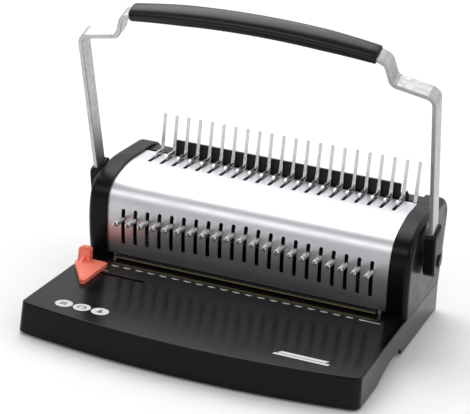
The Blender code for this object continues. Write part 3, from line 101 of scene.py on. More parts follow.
def rounded(points, radii, steps=8):
    """Rounds the corners of a closed outline; a radius of 0 keeps the corner."""
    result = []
    count = len(points)
    for i, (corner, radius) in enumerate(zip(points, radii)):
        here = Vector(corner)
        if radius <= 0:
            result.append(tuple(here))
            continue
        before = (Vector(points[i - 1]) - here).normalized()
        after = (Vector(points[(i + 1) % count]) - here).normalized()
        half = before.angle(after) / 2
        reach = radius / math.tan(half)
        centre = here + (before + after).normalized() * (radius / math.sin(half))
        start = here + before * reach - centre
        end = here + after * reach - centre
        sweep = start.angle(end)
        side = 1 if start.x * end.y - start.y * end.x > 0 else -1
        for step in range(steps + 1):
            turn = side * sweep * step / steps
            cos, sin = math.cos(turn), math.sin(turn)
            spoke = Vector((start.x * cos - start.y * sin, start.x * sin + start.y * cos))
            result.append(tuple(centre + spoke))
    return result


def beside(path, distance):
    """Moves an open path to its left by a distance."""
    result = []
    for i, point in enumerate(path):
        low = Vector(path[max(i - 1, 0)])
        high = Vector(path[min(i + 1, len(path) - 1)])
        along = (high - low).normalized()
        result.append((point[0] - along.y * distance, point[1] + along.x * distance))
    return result


def bend(start, first, second, end, steps):
    """Points along a cubic curve, the start left out."""
    points = []
    for step in range(1, steps + 1):
        t = step / steps
        u = 1 - t
        weights = (u**3, 3 * u * u * t, 3 * u * t * t, t**3)
        corners = (start, first, second, end)
        points.append(tuple(sum(w * c[k] for w, c in zip(weights, corners)) for k in (0, 1)))
    return points


def beyond(path, axis, value):
    """The rest of a path from the first place where a coordinate rises past a value."""
    for i, (low, high) in enumerate(zip(path, path[1:])):
        if low[axis] <= value < high[axis]:
            share = (value - low[axis]) / (high[axis] - low[axis])
            cut_point = tuple(a + (b - a) * share for a, b in zip(low, high))
            return [cut_point] + path[i + 1 :]
    return path


def circle(centre, radius, sides):
    """Pairs round a circle."""
    turn = 2 * math.pi / sides
    return [
        (centre[0] + radius * math.cos(turn * i), centre[1] + radius * math.sin(turn * i))
        for i in range(sides)
    ]


# %% Helpers for solids


def at(axis, first, second, along):
    """A point from two coordinates across an axis and one along it."""
    if axis == "X":
        return (along, first, second)
    if axis == "Y":
        return (first, along, second)
    return (first, second, along)


def loft(shape, rings):
    """Joins rings of points with equal counts into a closed body."""
    rows = [[shape.verts.new(point) for point in ring] for ring in rings]
    count = len(rows[0])
    for low, high in zip(rows, rows[1:]):
        for i in range(count):
            j = (i + 1) % count
            shape.faces.new((low[i], low[j], high[j], high[i]))
    shape.faces.new(rows[0][::-1])
    shape.faces.new(rows[-1])


def prism(shape, outline, axis, low, high):
    """An outline of pairs, carried along an axis."""
    loft(shape, [[at(axis, a, b, along) for a, b in outline] for along in (low, high)])


def block(shape, x, y, z):
    """A box from three (low, high) pairs."""
    outline = [(x[0], y[0]), (x[1], y[0]), (x[1], y[1]), (x[0], y[1])]
    prism(shape, outline, "Z", z[0], z[1])


def turned(shape, centre, axis, profile, sides=36):
    """A turned body: its profile is (radius, place along the axis) pairs."""
    loft(shape, [[at(axis, a, b, along) for a, b in circle(centre, r, sides)] for r, along in profile])


def span(side, near, far):
    """An X range mirrored to one side, low end first."""
    return tuple(sorted((side * near, side * far)))


# %% [markdown]
# ## From a shape to a piece
#
# Every piece goes through the same bench: cut or join with Booleans, soften the sharp edges with a
# small bevel, weight the normals so that flat faces stay flat, and freeze the result as plain mesh.
# A softened edge is what catches the light on a real moulding, and a mesh with none looks drawn.

# %% The bench


def raw(name, shape):
    """A bmesh as an object with its faces facing out."""
    bmesh.ops.recalc_face_normals(shape, faces=shape.faces)
    mesh = bpy.data.meshes.new(name)
    shape.to_mesh(mesh)
    shape.free()
    item = bpy.data.objects.new(name, mesh)
    bpy.context.scene.collection.objects.link(item)
    return item


def freeze(item):
    """Turns an object's modifiers into plain mesh."""
    bpy.context.view_layer.update()
    graph = bpy.context.evaluated_depsgraph_get()
    old = item.data
    mesh = bpy.data.meshes.new_from_object(item.evaluated_get(graph))
    item.modifiers.clear()
    item.data = mesh
    bpy.data.meshes.remove(old)


def carve(item, tools):
    """Applies (operation, shape) pairs to an object, one after another."""
    for operation, shape in tools:
        tool = raw("tool", shape)
        step = item.modifiers.new("step", "BOOLEAN")
        step.operation = operation
        step.solver = "EXACT"
        step.object = tool
        freeze(item)
        bpy.data.objects.remove(tool)


def make(name, shape, finish, body, stands_for=(), edge=0.0, tools=(), steps=2, sharp=32):
    """A finished piece: shaped, softened, smoothed, painted and riding on its body."""
    item = raw(name, shape)
    carve(item, tools)
    mesh = item.data
    mesh.materials.clear()
    mesh.materials.append(finish)
    mesh.shade_smooth()
    mesh.set_sharp_from_angle(angle=math.radians(sharp))
    if edge:
        soft = item.modifiers.new("soft edges", "BEVEL")
        soft.width = edge
        soft.segments = steps
        soft.limit_method = "ANGLE"
        soft.angle_limit = math.radians(sharp)
        soft.use_clamp_overlap = True
        flat = item.modifiers.new("flat faces", "WEIGHTED_NORMAL")
        flat.keep_sharp = False
        freeze(item)
    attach(item, body)
    if stands_for:
        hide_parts(*stands_for)
    return item


# %% [markdown]
# ## Finishes
#
# No real surface is one colour. Each finish below starts from the Principled shader and breaks up
# three things with noise measured in metres: the colour a little, the roughness more, and the height
# with a bump. Object coordinates are used because every piece keeps its place in its mesh, so a
# grain of half a millimetre is half a millimetre on every part.

# %% Tools for finishes


class Finish:
    """A material and short ways to wire its nodes."""

    def __init__(self, name, metallic=0.0, **sockets):
        self.material = bpy.data.materials.new(name)
        self.material.use_nodes = True
        self.nodes = self.material.node_tree.nodes
        self.links = self.material.node_tree.links
        self.shader = self.nodes["Principled BSDF"]
        self.shader.inputs["Metallic"].default_value = metallic
        for socket, value in sockets.items():
            self.shader.inputs[socket.replace("_", " ")].default_value = value
        self.place = self.nodes.new("ShaderNodeTexCoord").outputs["Object"]

    def grain(self, size, detail=3.0, stretch=(1, 1, 1), rough=0.5):
        """Noise whose blobs are about this size in metres, longer where stretch is larger."""
        mapping = self.nodes.new("ShaderNodeMapping")
        mapping.inputs["Scale"].default_value = [1 / (size * s) for s in stretch]
        self.links.new(self.place, mapping.inputs["Vector"])
        noise = self.nodes.new("ShaderNodeTexNoise")
        noise.inputs["Scale"].default_value = 1.0
        noise.inputs["Detail"].default_value = detail
        noise.inputs["Roughness"].default_value = rough
        self.links.new(mapping.outputs["Vector"], noise.inputs["Vector"])
        return noise.outputs["Fac"]

    def between(self, value, low, high, start=0.3, end=0.7):
        """Spreads a 0 to 1 value over a range."""
        spread = self.nodes.new("ShaderNodeMapRange")
        spread.inputs["From Min"].default_value = start
        spread.inputs["From Max"].default_value = end
        spread.inputs["To Min"].default_value = low
        spread.inputs["To Max"].default_value = high
        self.links.new(value, spread.inputs["Value"])
        return spread.outputs["Result"]

    def blend(self, factor, first, second):
        """A colour between two, each a colour or another node's output."""
        mix = self.nodes.new("ShaderNodeMix")
        mix.data_type = "RGBA"
        self.links.new(factor, mix.inputs["Factor"])
        for socket, colour in (("A", first), ("B", second)):
            place = [s for s in mix.inputs if s.name == socket and s.type == "RGBA"][0]
            if isinstance(colour, tuple):
                place.default_value = (*colour, 1.0)
            else:
                self.links.new(colour, place)
        return [s for s in mix.outputs if s.type == "RGBA"][0]

    def edges(self, low=0.515, high=0.56):
        """1 on outer edges, where hands and boxes rub, and 0 elsewhere."""
        shape = self.nodes.new("ShaderNodeNewGeometry")
        return self.between(shape.outputs["Pointiness"], 0.0, 1.0, low, high)

    def colour(self, value):
        self.links.new(value, self.shader.inputs["Base Color"])

    def roughness(self, value):
        self.links.new(value, self.shader.inputs["Roughness"])

    def relief(self, *layers):
        """Bump from (height, depth in metres) pairs, one on top of another."""
        normal = None
        for height, depth in layers:
            bump = self.nodes.new("ShaderNodeBump")
            bump.inputs["Strength"].default_value = 1.0
            bump.inputs["Distance"].default_value = depth
            self.links.new(height, bump.inputs["Height"])
            if normal:
                self.links.new(normal, bump.inputs["Normal"])
            normal = bump.outputs["Normal"]
        self.links.new(normal, self.shader.inputs["Normal"])


# %% [markdown]
# ### Black mouldings
#
# The deck is a smooth, almost polished moulding, the caps are satin, and the tray behind has a
# coarse spark-eroded texture. One recipe serves all three: what changes is how rough it is and how
# deep the texture goes. Edges rub a little lighter, and a faint cloud in the roughness keeps
# reflections from looking like glass.

# %% Black plastics


def moulding(name, tone, rough, texture, texture_depth):
    finish = Finish(name, Specular_IOR_Level=0.15)
    cloud = finish.grain(18 * MM, 4)
    tooth = finish.grain(texture, 2)
    dark = tuple(tone * c for c in (0.92, 0.98, 1.08))
    light = tuple(tone * c for c in (1.25, 1.32, 1.45))
    worn = tuple(tone * 2.0 + 0.004 for _ in range(3))
    body = finish.blend(finish.between(cloud, 0, 1), dark, light)
    finish.colour(finish.blend(finish.edges(), body, worn))
    finish.roughness(finish.between(cloud, rough * 0.86, rough * 1.16))
    finish.relief((tooth, texture_depth))
    return finish.material


deck_black = moulding("deck_black", 0.0018, 0.20, 0.5 * MM, 0.001 * MM)
cap_black = moulding("cap_black", 0.0022, 0.30, 0.45 * MM, 0.002 * MM)
hub_black = moulding("hub_black", 0.0022, 0.34, 0.45 * MM, 0.002 * MM)
tray_black = moulding("tray_black", 0.008, 0.48, 0.8 * MM, 0.03 * MM)
strip_black = moulding("strip_black", 0.012, 0.42, 0.6 * MM, 0.02 * MM)
print("black plastics:", 5)

# %% [markdown]
# ### Rubber and the soft grip
#
# Rubber is rougher and greyer than plastic, and dust sits in it. The grip is a soft-touch skin: a
# little sheen at glancing angles, a fine pebble, and a gloss that hands have polished unevenly.

# %% Rubbers


def rubber(name, tone, rough, sheen):
    finish = Finish(name, Sheen_Weight=sheen, Sheen_Roughness=0.5, Specular_IOR_Level=0.3)
    dust = finish.grain(6 * MM, 4)
    pebble = finish.grain(0.7 * MM, 2)
    finish.colour(finish.blend(finish.between(dust, 0, 1), (tone,) * 3, (tone * 1.7,) * 3))
    finish.roughness(finish.between(dust, rough * 0.88, min(1.0, rough * 1.12)))
    finish.relief((pebble, 0.02 * MM), (dust, 0.05 * MM))
    return finish.material


foot_rubber = rubber("foot_rubber", 0.010, 0.8, 0.03)
grip_skin = rubber("grip_skin", 0.003, 0.30, 0.0)
print("rubbers:", 2)

# %% [markdown]
# ### Silver sheet, plated steel and chrome
#
# A brushed sheet is a mirror with thousands of fine scratches that all run one way, so its noise is
# stretched about a hundred times along the brushing. The cover was brushed along its length before
# it was rolled, and that is why its highlights spread across the curve and stay sharp along it.

# %% Metals


def brushed(name, tone, rough, along, streak=0.35 * MM, depth=0.0006 * MM, tint=(1, 1, 1)):
    finish = Finish(name, metallic=1.0)
    stretch = [120.0 if axis == along else 1.0 for axis in "XYZ"]
    lines = finish.grain(streak, 4, stretch, 0.6)
    cloud = finish.grain(30 * MM, 3)
    dark = tuple(tone * 0.97 * c for c in tint)
    light = tuple(min(1.0, tone * 1.02 * c) for c in tint)
    finish.colour(finish.blend(finish.between(lines, 0, 1), dark, light))
    wide = finish.between(cloud, -0.02, 0.03)
    add = finish.nodes.new("ShaderNodeMath")
    finish.links.new(finish.between(lines, rough * 0.92, rough * 1.1), add.inputs[0])
    finish.links.new(wide, add.inputs[1])
    finish.roughness(add.outputs["Value"])
    finish.relief((lines, depth))
    return finish.material


def plated(name, tone, rough, spots=0.0, tint=(1, 1, 1)):
    """Even plating: a cloudy gloss, tiny pits, and bright rubbed edges."""
    finish = Finish(name, metallic=1.0)
    cloud = finish.grain(5 * MM, 5)
    pits = finish.grain(0.6 * MM, 3)
    base = tuple(tone * c for c in tint)
    dull = tuple(tone * (0.86 - spots) * c for c in tint)
    bright = tuple(min(1.0, tone * 1.12 * c) for c in tint)
    body = finish.blend(finish.between(cloud, 0, 1), base, dull)
    finish.colour(finish.blend(finish.edges(), body, bright))
    finish.roughness(finish.between(cloud, rough * 0.8, rough * 1.35))
    finish.relief((pits, 0.003 * MM))
    return finish.material


cover_silver = brushed("cover_silver", 0.70, 0.42, "X", tint=(0.98, 0.99, 1.03))
bar_satin = plated("bar_satin", 0.54, 0.40, 0.02)
prong_chrome = plated("prong_chrome", 0.62, 0.22)
pin_chrome = plated("pin_chrome", 0.66, 0.20)
frame_zinc = plated("frame_zinc", 0.55, 0.42, 0.12, (0.97, 0.99, 1.0))
tool_steel = plated("tool_steel", 0.35, 0.38, 0.10)
# Black oxide for the ram and the cap screws; on the punch guide the same black is painted shade.
black_oxide_and_shade = plated("black_oxide_and_shade", 0.05, 0.5, 0.1, (0.95, 0.97, 1.0))
plate_steel = brushed("plate_steel", 0.50, 0.40, "Y", 0.8 * MM)
print("metals:", 8)

# %% [markdown]
# ### Yellow zinc
#
# Yellow-passivated zinc is never one yellow. The film is a few hundred nanometres thick, and where
# it thins it drifts to green and pink. Two slow noises mix those tints over a straw base.

# %% Yellow zinc


def yellow_zinc():
    finish = Finish("guide_yellow_zinc", metallic=1.0)
    drift = finish.grain(14 * MM, 3)
    patch = finish.grain(5 * MM, 3)
    straw = finish.blend(finish.between(drift, 0, 1), (0.72, 0.56, 0.22), (0.62, 0.60, 0.30))
    finish.colour(finish.blend(finish.between(patch, 0, 0.5, 0.5, 0.8), straw, (0.75, 0.46, 0.36)))
    finish.roughness(finish.between(patch, 0.26, 0.42))
    finish.relief((patch, 0.004 * MM))
    return finish.material


guide_gold = yellow_zinc()

# %% [markdown]
# ### Orange-red guide and the print
#
# The sliding guide is a translucent-looking orange-red moulding: a trace of subsurface keeps its thin
# edges warm. The print on the deck is a thin ink film, so it is duller than the plastic under it and
# not quite opaque everywhere.

# %% Guide plastic and ink


def warm_moulding():
    finish = Finish("guide_red", Subsurface_Weight=0.06, Subsurface_Scale=0.002)
    finish.shader.inputs["Subsurface Radius"].default_value = (1.0, 0.25, 0.1)
    flow = finish.grain(9 * MM, 3)
    tooth = finish.grain(0.6 * MM, 2)
    body = finish.blend(finish.between(flow, 0, 1), (0.83, 0.075, 0.035), (0.90, 0.115, 0.060))
    finish.colour(finish.blend(finish.edges(), body, (0.95, 0.24, 0.16)))
    finish.roughness(finish.between(flow, 0.34, 0.46))
    finish.relief((tooth, 0.01 * MM))
    return finish.material


def ink(name, tone):
    finish = Finish(name)
    film = finish.grain(1.2 * MM, 3)
    low = tuple(tone * c * 0.86 for c in (0.97, 0.98, 1.0))
    high = tuple(min(1.0, tone * c) for c in (0.97, 0.98, 1.0))
    finish.colour(finish.blend(finish.between(film, 0, 1), low, high))
    finish.roughness(finish.between(film, 0.42, 0.6))
    finish.relief((film, 0.003 * MM))
    return finish.material


guide_red = warm_moulding()
pale_ink = ink("pale_ink", 0.72)
dark_ink = ink("dark_ink", 0.03)
print("print inks:", 2)

# %% [markdown]
# ## The body line
#
# Seen from the end, the machine is one curve: up from the deck, leaning forward to a bulge, over a
# shoulder to a flat top, and round a quarter circle down the back. The cover, the rear cover and the
# caps all follow it, so it is worked out once. Bezier runs suit it, because a rolled sheet bends
# smoothly and never holds an exact radius.

# %% The body line
foot_y = 25.0 * MM
bulge_z = deck_top + 62.0 * MM
shoulder_y = 38.5 * MM
shoulder_drop = 6.5 * MM
flat_y = 82.5 * MM
rear_round = 26.0 * MM


def body_line():
    """The outer line of the covers from the deck at the front, over the top, to the deck behind."""
    top = skin_top
    foot = (foot_y, deck_top)
    bulge = (skin_front, bulge_z)
    shoulder = (shoulder_y, top - shoulder_drop)
    flat = (flat_y, top)
    low = (foot_y - 0.55 * (foot_y - skin_front), deck_top + 0.36 * (bulge_z - deck_top))
    below = (skin_front, deck_top + 0.7 * (bulge_z - deck_top))
    above = (skin_front, bulge_z + 0.55 * (top - bulge_z))
    turn = (skin_front + 0.32 * (shoulder_y - skin_front), top - 1.8 * shoulder_drop)
    path = [foot] + bend(foot, low, below, bulge, 16) + bend(bulge, above, turn, shoulder, 24)
    reach = flat_y - shoulder_y
    ease = (shoulder_y + 0.3 * reach, top - 0.35 * shoulder_drop)
    path += bend(shoulder, ease, (flat_y - 0.4 * reach, top), flat, 12)
    centre = (skin_rear - rear_round, top - rear_round)
    steps = 18
    for step in range(steps + 1):
        angle = math.pi / 2 * (1 - step / steps)
        path.append((centre[0] + rear_round * math.cos(angle), centre[1] + rear_round * math.sin(angle)))
    path.append((skin_rear, deck_top))
    return path


def sheet(path, thick, half):
    """A sheet that follows a path; the path is its outer face."""
    inner = beside(path, -thick)
    inner[0] = (inner[0][0], max(inner[0][1], path[0][1]))
    shape = bmesh.new()
    prism(shape, path + inner[::-1], "X", -half, half)
    return shape


print("points in the body line:", len(body_line()))

# %% [markdown]
# ## The silver cover
#
# On the real cover the slots are punched flat and the sheet is rolled after. Here the rolled sheet
# is made first and the 42 slots are cut from it, which keeps every slot exactly over its die. The
# front slots start a little higher towards the middle, in a shallow arch that follows the pins.

# %% The silver cover
COVER_SHEET = 1.2 * MM
SLOT_WIDTH = 4.4 * MM
SLOT_LOW = deck_top + 20.3 * MM
SLOT_LENGTH = 42.8 * MM
ARCH = 9.0 * MM
TOP_SLOT_WIDTH = 4.2 * MM
TOP_SLOT = (76.5 * MM, 111.0 * MM)


def raised(number):
    """How much a die's slot and pin stand above the outermost ones."""
    middle = (DIES + 1) / 2
    return ARCH * (1 - abs(number - middle) / (middle - 1))


def follow_line(item, line):
    """Turns the normals of a rolled sheet's two faces to the line it was rolled along."""
    points = [Vector(p) for p in line]
    middles = [(low + high) / 2 for low, high in zip(points, points[1:])]
    bends = []
    for i in range(len(points)):
        along = points[min(i + 1, len(points) - 1)] - points[max(i - 1, 0)]
        bends.append(Vector((-along.y, along.x)).normalized())
    mesh = item.data
    normals = [Vector(corner.vector) for corner in mesh.corner_normals]
    for face in mesh.polygons:
        for loop in face.loop_indices:
            y, z = mesh.vertices[mesh.loops[loop].vertex_index].co.yz
            place = Vector((y, z))
            k = min(range(len(middles)), key=lambda i: (middles[i] - place).length)
            step = points[k + 1] - points[k]
            share = min(1.0, max(0.0, (place - points[k]).dot(step) / step.length_squared))
            out = bends[k].lerp(bends[k + 1], share)
            out = Vector((0.0, out.x, out.y)).normalized()
            facing = out.dot(face.normal)
            if abs(facing) > 0.97:
                normals[loop] = out * math.copysign(1.0, facing)
    mesh.normals_split_custom_set(normals)


def silver_cover():
    line = beyond(body_line(), 1, cover_low.z)
    rest = beyond(line, 0, cover_high.y)
    line = line[: len(line) - len(rest) + 1] + rest[:1]
    front = bmesh.new()
    top = bmesh.new()
    half = SLOT_WIDTH / 2
    top_half = TOP_SLOT_WIDTH / 2
    for number in range(1, DIES + 1):
        x = die_x(number)
        low = SLOT_LOW + raised(number)
        high = low + SLOT_LENGTH
        corners = [(x - half, low), (x + half, low), (x + half, high), (x - half, high)]
        outline = rounded(corners, [half * 0.5, half * 0.5, half * 0.98, half * 0.98], 5)
        prism(front, outline, "Y", skin_front - 8 * MM, foot_y + 6 * MM)
        corners = [(x - top_half, TOP_SLOT[0]), (x + top_half, TOP_SLOT[0])]
        corners += [(x + top_half, TOP_SLOT[1]), (x - top_half, TOP_SLOT[1])]
        outline = rounded(corners, [top_half * 0.9, top_half * 0.9, half * 0.3, half * 0.3], 5)
        prism(top, outline, "Z", skin_top - 6 * MM, skin_top + 4 * MM)
    shape = sheet(line, COVER_SHEET, cover_high.x)
    tools = (("DIFFERENCE", front), ("DIFFERENCE", top))
    item = make("silver_cover", shape, cover_silver, "machine", ["front_cover"],
                edge=0.25 * MM, tools=tools)
    follow_line(item, line)
    return item


cover = silver_cover()
print("cover faces:", len(cover.data.polygons))

# %% [markdown]
# ## Rear cover and end caps
#
# The rear cover is a plain moulding, but a flat black sheet says nothing, so it gets the shallow
# grooves that such a cover has to stiffen it. The caps are lofts of the same body line, a little
# proud of the sheet: ring after ring steps inwards on a quarter circle to give the wide rounded rim.

# %% Rear cover
rear_split = rear_low.y
REAR_WALL = 2.0 * MM
GROOVES = 5
GROOVE_START = 26.0 * MM
GROOVE_STEP = 8.0 * MM
GROOVE_WIDTH = 1.6 * MM
GROOVE_DEPTH = 0.6 * MM
GROOVE_SHARE = 0.72


def rear_shell():
    line = beyond(body_line(), 0, rear_split)
    line[-1] = (line[-1][0], rear_low.z)
    grooves = bmesh.new()
    half = cap_in * GROOVE_SHARE
    for step in range(GROOVES):
        z = deck_top + GROOVE_START + GROOVE_STEP * step
        depth = (skin_rear - GROOVE_DEPTH, skin_rear + 2 * MM)
        block(grooves, (-half, half), depth, (z, z + GROOVE_WIDTH))
    return make("rear_shell", sheet(line, REAR_WALL, rear_high.x), cap_black, "machine",
                ["rear_cover"], edge=0.3 * MM, tools=(("DIFFERENCE", grooves),))


rear_shell()

# %% End caps
RIM_ROUND = 7.0 * MM
CAP_WALL = 2.4 * MM
SLEEVE_HOLE = 9.5 * MM


def cap_ring(outward, x):
    """One outline of an end cap, at a distance outside the body line."""
    path = beside(body_line(), outward)
    low = cap_low.z
    path[0] = (path[0][0], low)
    path[-1] = (path[-1][0], low)
    return [(x, y, max(z, low)) for y, z in path]


def end_cap(name, side):
    steps = 10
    rings = [cap_ring(cap_proud - 0.5 * MM, side * cap_in)]
    rings.append(cap_ring(cap_proud, side * (cap_in + 0.5 * MM)))
    for step in range(steps + 1):
        angle = math.pi / 2 * step / steps
        inward = RIM_ROUND * (1 - math.cos(angle))
        x = side * (cap_out - RIM_ROUND * (1 - math.sin(angle)))
        rings.append(cap_ring(cap_proud - inward, x))
    shape = bmesh.new()
    loft(shape, rings)
    hollow = bmesh.new()
    inner = [cap_ring(cap_proud - CAP_WALL, side * (cap_in - 2 * MM))]
    inner.append(cap_ring(cap_proud - CAP_WALL, side * (cap_out - CAP_WALL - RIM_ROUND)))
    inner.append(cap_ring(cap_proud - CAP_WALL - RIM_ROUND, side * (cap_out - CAP_WALL)))
    for ring in inner:
        for i, (x, y, z) in enumerate(ring):
            if z < deck_top + 0.6 * MM:
                ring[i] = (x, y, deck_top - 2 * MM)
    loft(hollow, inner)
    holes = bmesh.new()
    low, high = span(side, cap_out - 2 * CAP_WALL, cap_out + 2 * MM)
    turned(holes, (shaft_y, shaft_z), "X", ((SLEEVE_HOLE, low), (SLEEVE_HOLE, high)), 48)
    slot_y = skin_rear - 14 * MM
    slot_z = deck_top + 0.86 * (skin_top - deck_top)
    slot = [(slot_y - 1.4 * MM, slot_z - 4.5 * MM), (slot_y + 1.4 * MM, slot_z - 4.5 * MM)]
    slot += [(slot_y + 4.0 * MM, slot_z + 4.5 * MM), (slot_y + 1.2 * MM, slot_z + 4.5 * MM)]
    prism(holes, rounded(slot, [0.7 * MM] * 4, 4), "X", low, high)
    screw = (skin_rear - 9 * MM, deck_top + 0.36 * (skin_top - deck_top))
    turned(holes, screw, "X", ((2.2 * MM, low), (2.2 * MM, high)), 24)
    tools = (("DIFFERENCE", hollow), ("DIFFERENCE", holes))
    make("cap_" + name, shape, cap_black, "machine", ["end_cap_" + name],
         edge=0.35 * MM, tools=tools)
    cap_screw(name, side, screw)


def cap_screw(name, side, place):
    """The head of the screw that holds the cap, sunk in its hole, with a cross recess."""
    face = cap_out - 1.0 * MM
    shape = bmesh.new()
    profile = ((1.9 * MM, side * (face - 1.2 * MM)), (1.9 * MM, side * (face - 0.3 * MM)),
               (1.5 * MM, side * face))
    turned(shape, place, "X", profile, 28)
    cross = bmesh.new()
    other = bmesh.new()
    x = span(side, face - 0.8 * MM, face + 1 * MM)
    thin, wide = 0.28 * MM, 1.1 * MM
    block(cross, x, (place[0] - thin, place[0] + thin), (place[1] - wide, place[1] + wide))
    block(other, x, (place[0] - wide, place[0] + wide), (place[1] - thin, place[1] + thin))
    make("cap_screw_" + name, shape, black_oxide_and_shade, "machine",
         edge=0.08 * MM, tools=(("DIFFERENCE", cross), ("DIFFERENCE", other)))


for end_name, end_side in ENDS:
    end_cap(end_name, end_side)

# %% [markdown]
# ## The base
#
# The base is a shallow tray turned upside down. Its front bows forward, its sides lean out by a
# degree or two so that it leaves the mould, and each side has a scoop for the fingers. The edge
# between the deck and the skirt is a small true radius, and that line of light along the front is
# what makes the deck read as one moulding.

# %% The base
DRAFT = 1.5 * MM
FRONT_BOW = 20.0 * MM
CORNER = 8.0 * MM
EDGE_ROUND = 2.0 * MM
SKIRT_WALL = 2.6 * MM
DECK_THICK = 3.2 * MM
TRAY_DOOR = (6.0 * MM, 29.0 * MM)
SEAT_RADIUS = 11.0 * MM
SEAT_LOW = 4.5 * MM
SCOOP_REAR = 9.5 * MM
SCOOP_LONG = 98.0 * MM
SCOOP_LIFT = 10.5 * MM
plan_half = base_high.x - DRAFT
plan_front = base_low.y + DRAFT
plan_rear = base_high.y - DRAFT
tray_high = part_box("chip_tray")[1]
frame_low, frame_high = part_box("side_frame_right")
guide_low, guide_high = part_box("edge_guide")
GUIDE_RUN = 0.5 * MM
GUIDE_TRAVEL = 58.0 * MM
BOSS_LONG = 10.0 * MM
boss_left = (guide_low.x + guide_high.x) / 2
slot_left = boss_left - GUIDE_RUN
SLOT_X = (slot_left, boss_left + BOSS_LONG + GUIDE_TRAVEL + GUIDE_RUN)
SLOT_Y = (-31 * MM, -26 * MM)
foot_boxes = [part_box("foot_" + corner) for corner in ("fl", "fr", "rl", "rr")]


def plan(inset, height):
    """The base seen from above, drawn in by an inset, at a height."""
    half = plan_half - inset
    rear = plan_rear - inset
    corner = plan_front + inset + FRONT_BOW
    steps = 40
    points = []
    for i in range(steps + 1):
        share = 2 * i / steps - 1
        points.append((half * share, corner - FRONT_BOW * (1 - share * share)))
    points += [(half, rear), (-half, rear)]
    radius = max(CORNER - inset, 1.0 * MM)
    front = [radius * (1.0 if i in (0, steps) else 0.0) for i in range(steps + 1)]
    return [(x, y, height) for x, y in rounded(points, front + [radius, radius], 10)]


def scoop_line(rear, length, lift):
    """The finger scoop: steep behind and running out forwards."""
    low = base_low.z - 2 * MM
    shape = ((0, 0), (0.02, 0.55), (0.05, 0.74), (0.10, 0.86), (0.17, 0.95), (0.26, 1.0), (0.36, 0.96),
             (0.46, 0.88), (0.59, 0.70), (0.72, 0.5), (0.87, 0.22), (1, 0))
    line = [(rear, low)]
    line += [(rear - a * length, base_low.z + up * lift + 0.01 * MM) for a, up in shape]
    return line + [(rear - length, low)]


def base():
    shape = bmesh.new()
    rings = [plan(-DRAFT, base_low.z)]
    steps = 6
    for step in range(steps + 1):
        angle = math.pi / 2 * step / steps
        inset = EDGE_ROUND * (1 - math.cos(angle))
        rings.append(plan(inset, deck_top - EDGE_ROUND * (1 - math.sin(angle))))
    loft(shape, rings)
    inside = bmesh.new()
    loft(inside, [plan(SKIRT_WALL - DRAFT, base_low.z - 1 * MM), plan(SKIRT_WALL, deck_top - DECK_THICK)])
    seats = bmesh.new()
    for low, high in foot_boxes:
        centre = ((low.x + high.x) / 2, (low.y + high.y) / 2)
        seat = ((SEAT_RADIUS, SEAT_LOW), (SEAT_RADIUS, deck_top - DECK_THICK / 2))
        turned(seats, centre, "Z", seat, 40)
    openings = bmesh.new()
    deck = (deck_top - DECK_THICK - 2 * MM, deck_top + 2 * MM)
    half = frame_high.x + 1.5 * MM
    block(openings, (-half, half), (frame_low.y - 0.5 * MM, frame_high.y + 1.5 * MM), deck)
    (left, right), (front, rear) = SLOT_X, SLOT_Y
    corners = [(left, front), (right, front), (right, rear), (left, rear)]
    prism(openings, rounded(corners, [0, 1 * MM, 1 * MM, 0], 6), "Z", deck[0], deck[1])
    behind = bmesh.new()
    across = tray_high.x + 0.5 * MM
    block(behind, (-across, across), (plan_rear - 8 * MM, plan_rear + 5 * MM), TRAY_DOOR)
    tools = [("DIFFERENCE", inside), ("UNION", seats), ("DIFFERENCE", openings), ("DIFFERENCE", behind)]
    for _, side in ENDS:
        scoop = bmesh.new()
        low, high = span(side, plan_half - 8 * MM, plan_half + 5 * MM)
        prism(scoop, scoop_line(SCOOP_REAR, SCOOP_LONG, SCOOP_LIFT), "X", low, high)
        tools.append(("DIFFERENCE", scoop))
    return make("deck_moulding", shape, deck_black, "machine", ["base_housing"],
                edge=0.3 * MM, tools=tools)


base()

# %% [markdown]
# ## Feet
#
# Each foot is a turned rubber plug. Real ones have a chamfer, a shallow dished sole and a rounded
# lip, and the lip is the part that shows under the front edge.

# %% Feet


def foot(corner, low, high):
    centre = ((low.x + high.x) / 2, (low.y + high.y) / 2)
    radius = (high.x - low.x) / 2
    tall = high.z
    shape = bmesh.new()
    profile = [(radius * 0.55, 0.6 * MM), (radius * 0.62, 0.0), (radius * 0.80, 0.0)]
    for step in range(1, 6):
        angle = math.pi / 2 * step / 5
        profile.append((radius * (0.80 + 0.20 * math.sin(angle)), tall * 0.35 * (1 - math.cos(angle))))
    profile.append((radius, tall))
    turned(shape, centre, "Z", profile, 40)
    make("rubber_foot_" + corner, shape, foot_rubber, "machine", ["foot_" + corner])


for foot_name, (foot_low, foot_high) in zip(("fl", "fr", "rl", "rr"), foot_boxes):
    foot(foot_name, foot_low, foot_high)
print("feet:", len(foot_boxes))

# %% [markdown]
# ## Pull pins
#
# Each pin is turned from bar: a knob with a drilled end, a thin neck through the slot and a shank in
# the ram. It is a revolved profile, so the cheapest good way to make it is a loft of circles. The
# drilled end is what the eye picks up, a dark dot in a bright ring.

# %% Pull pins
NECK = 1.3 * MM
KNOB = 3.05 * MM
KNOB_GAP = 1.2 * MM
NECK_BEHIND = 14.5 * MM


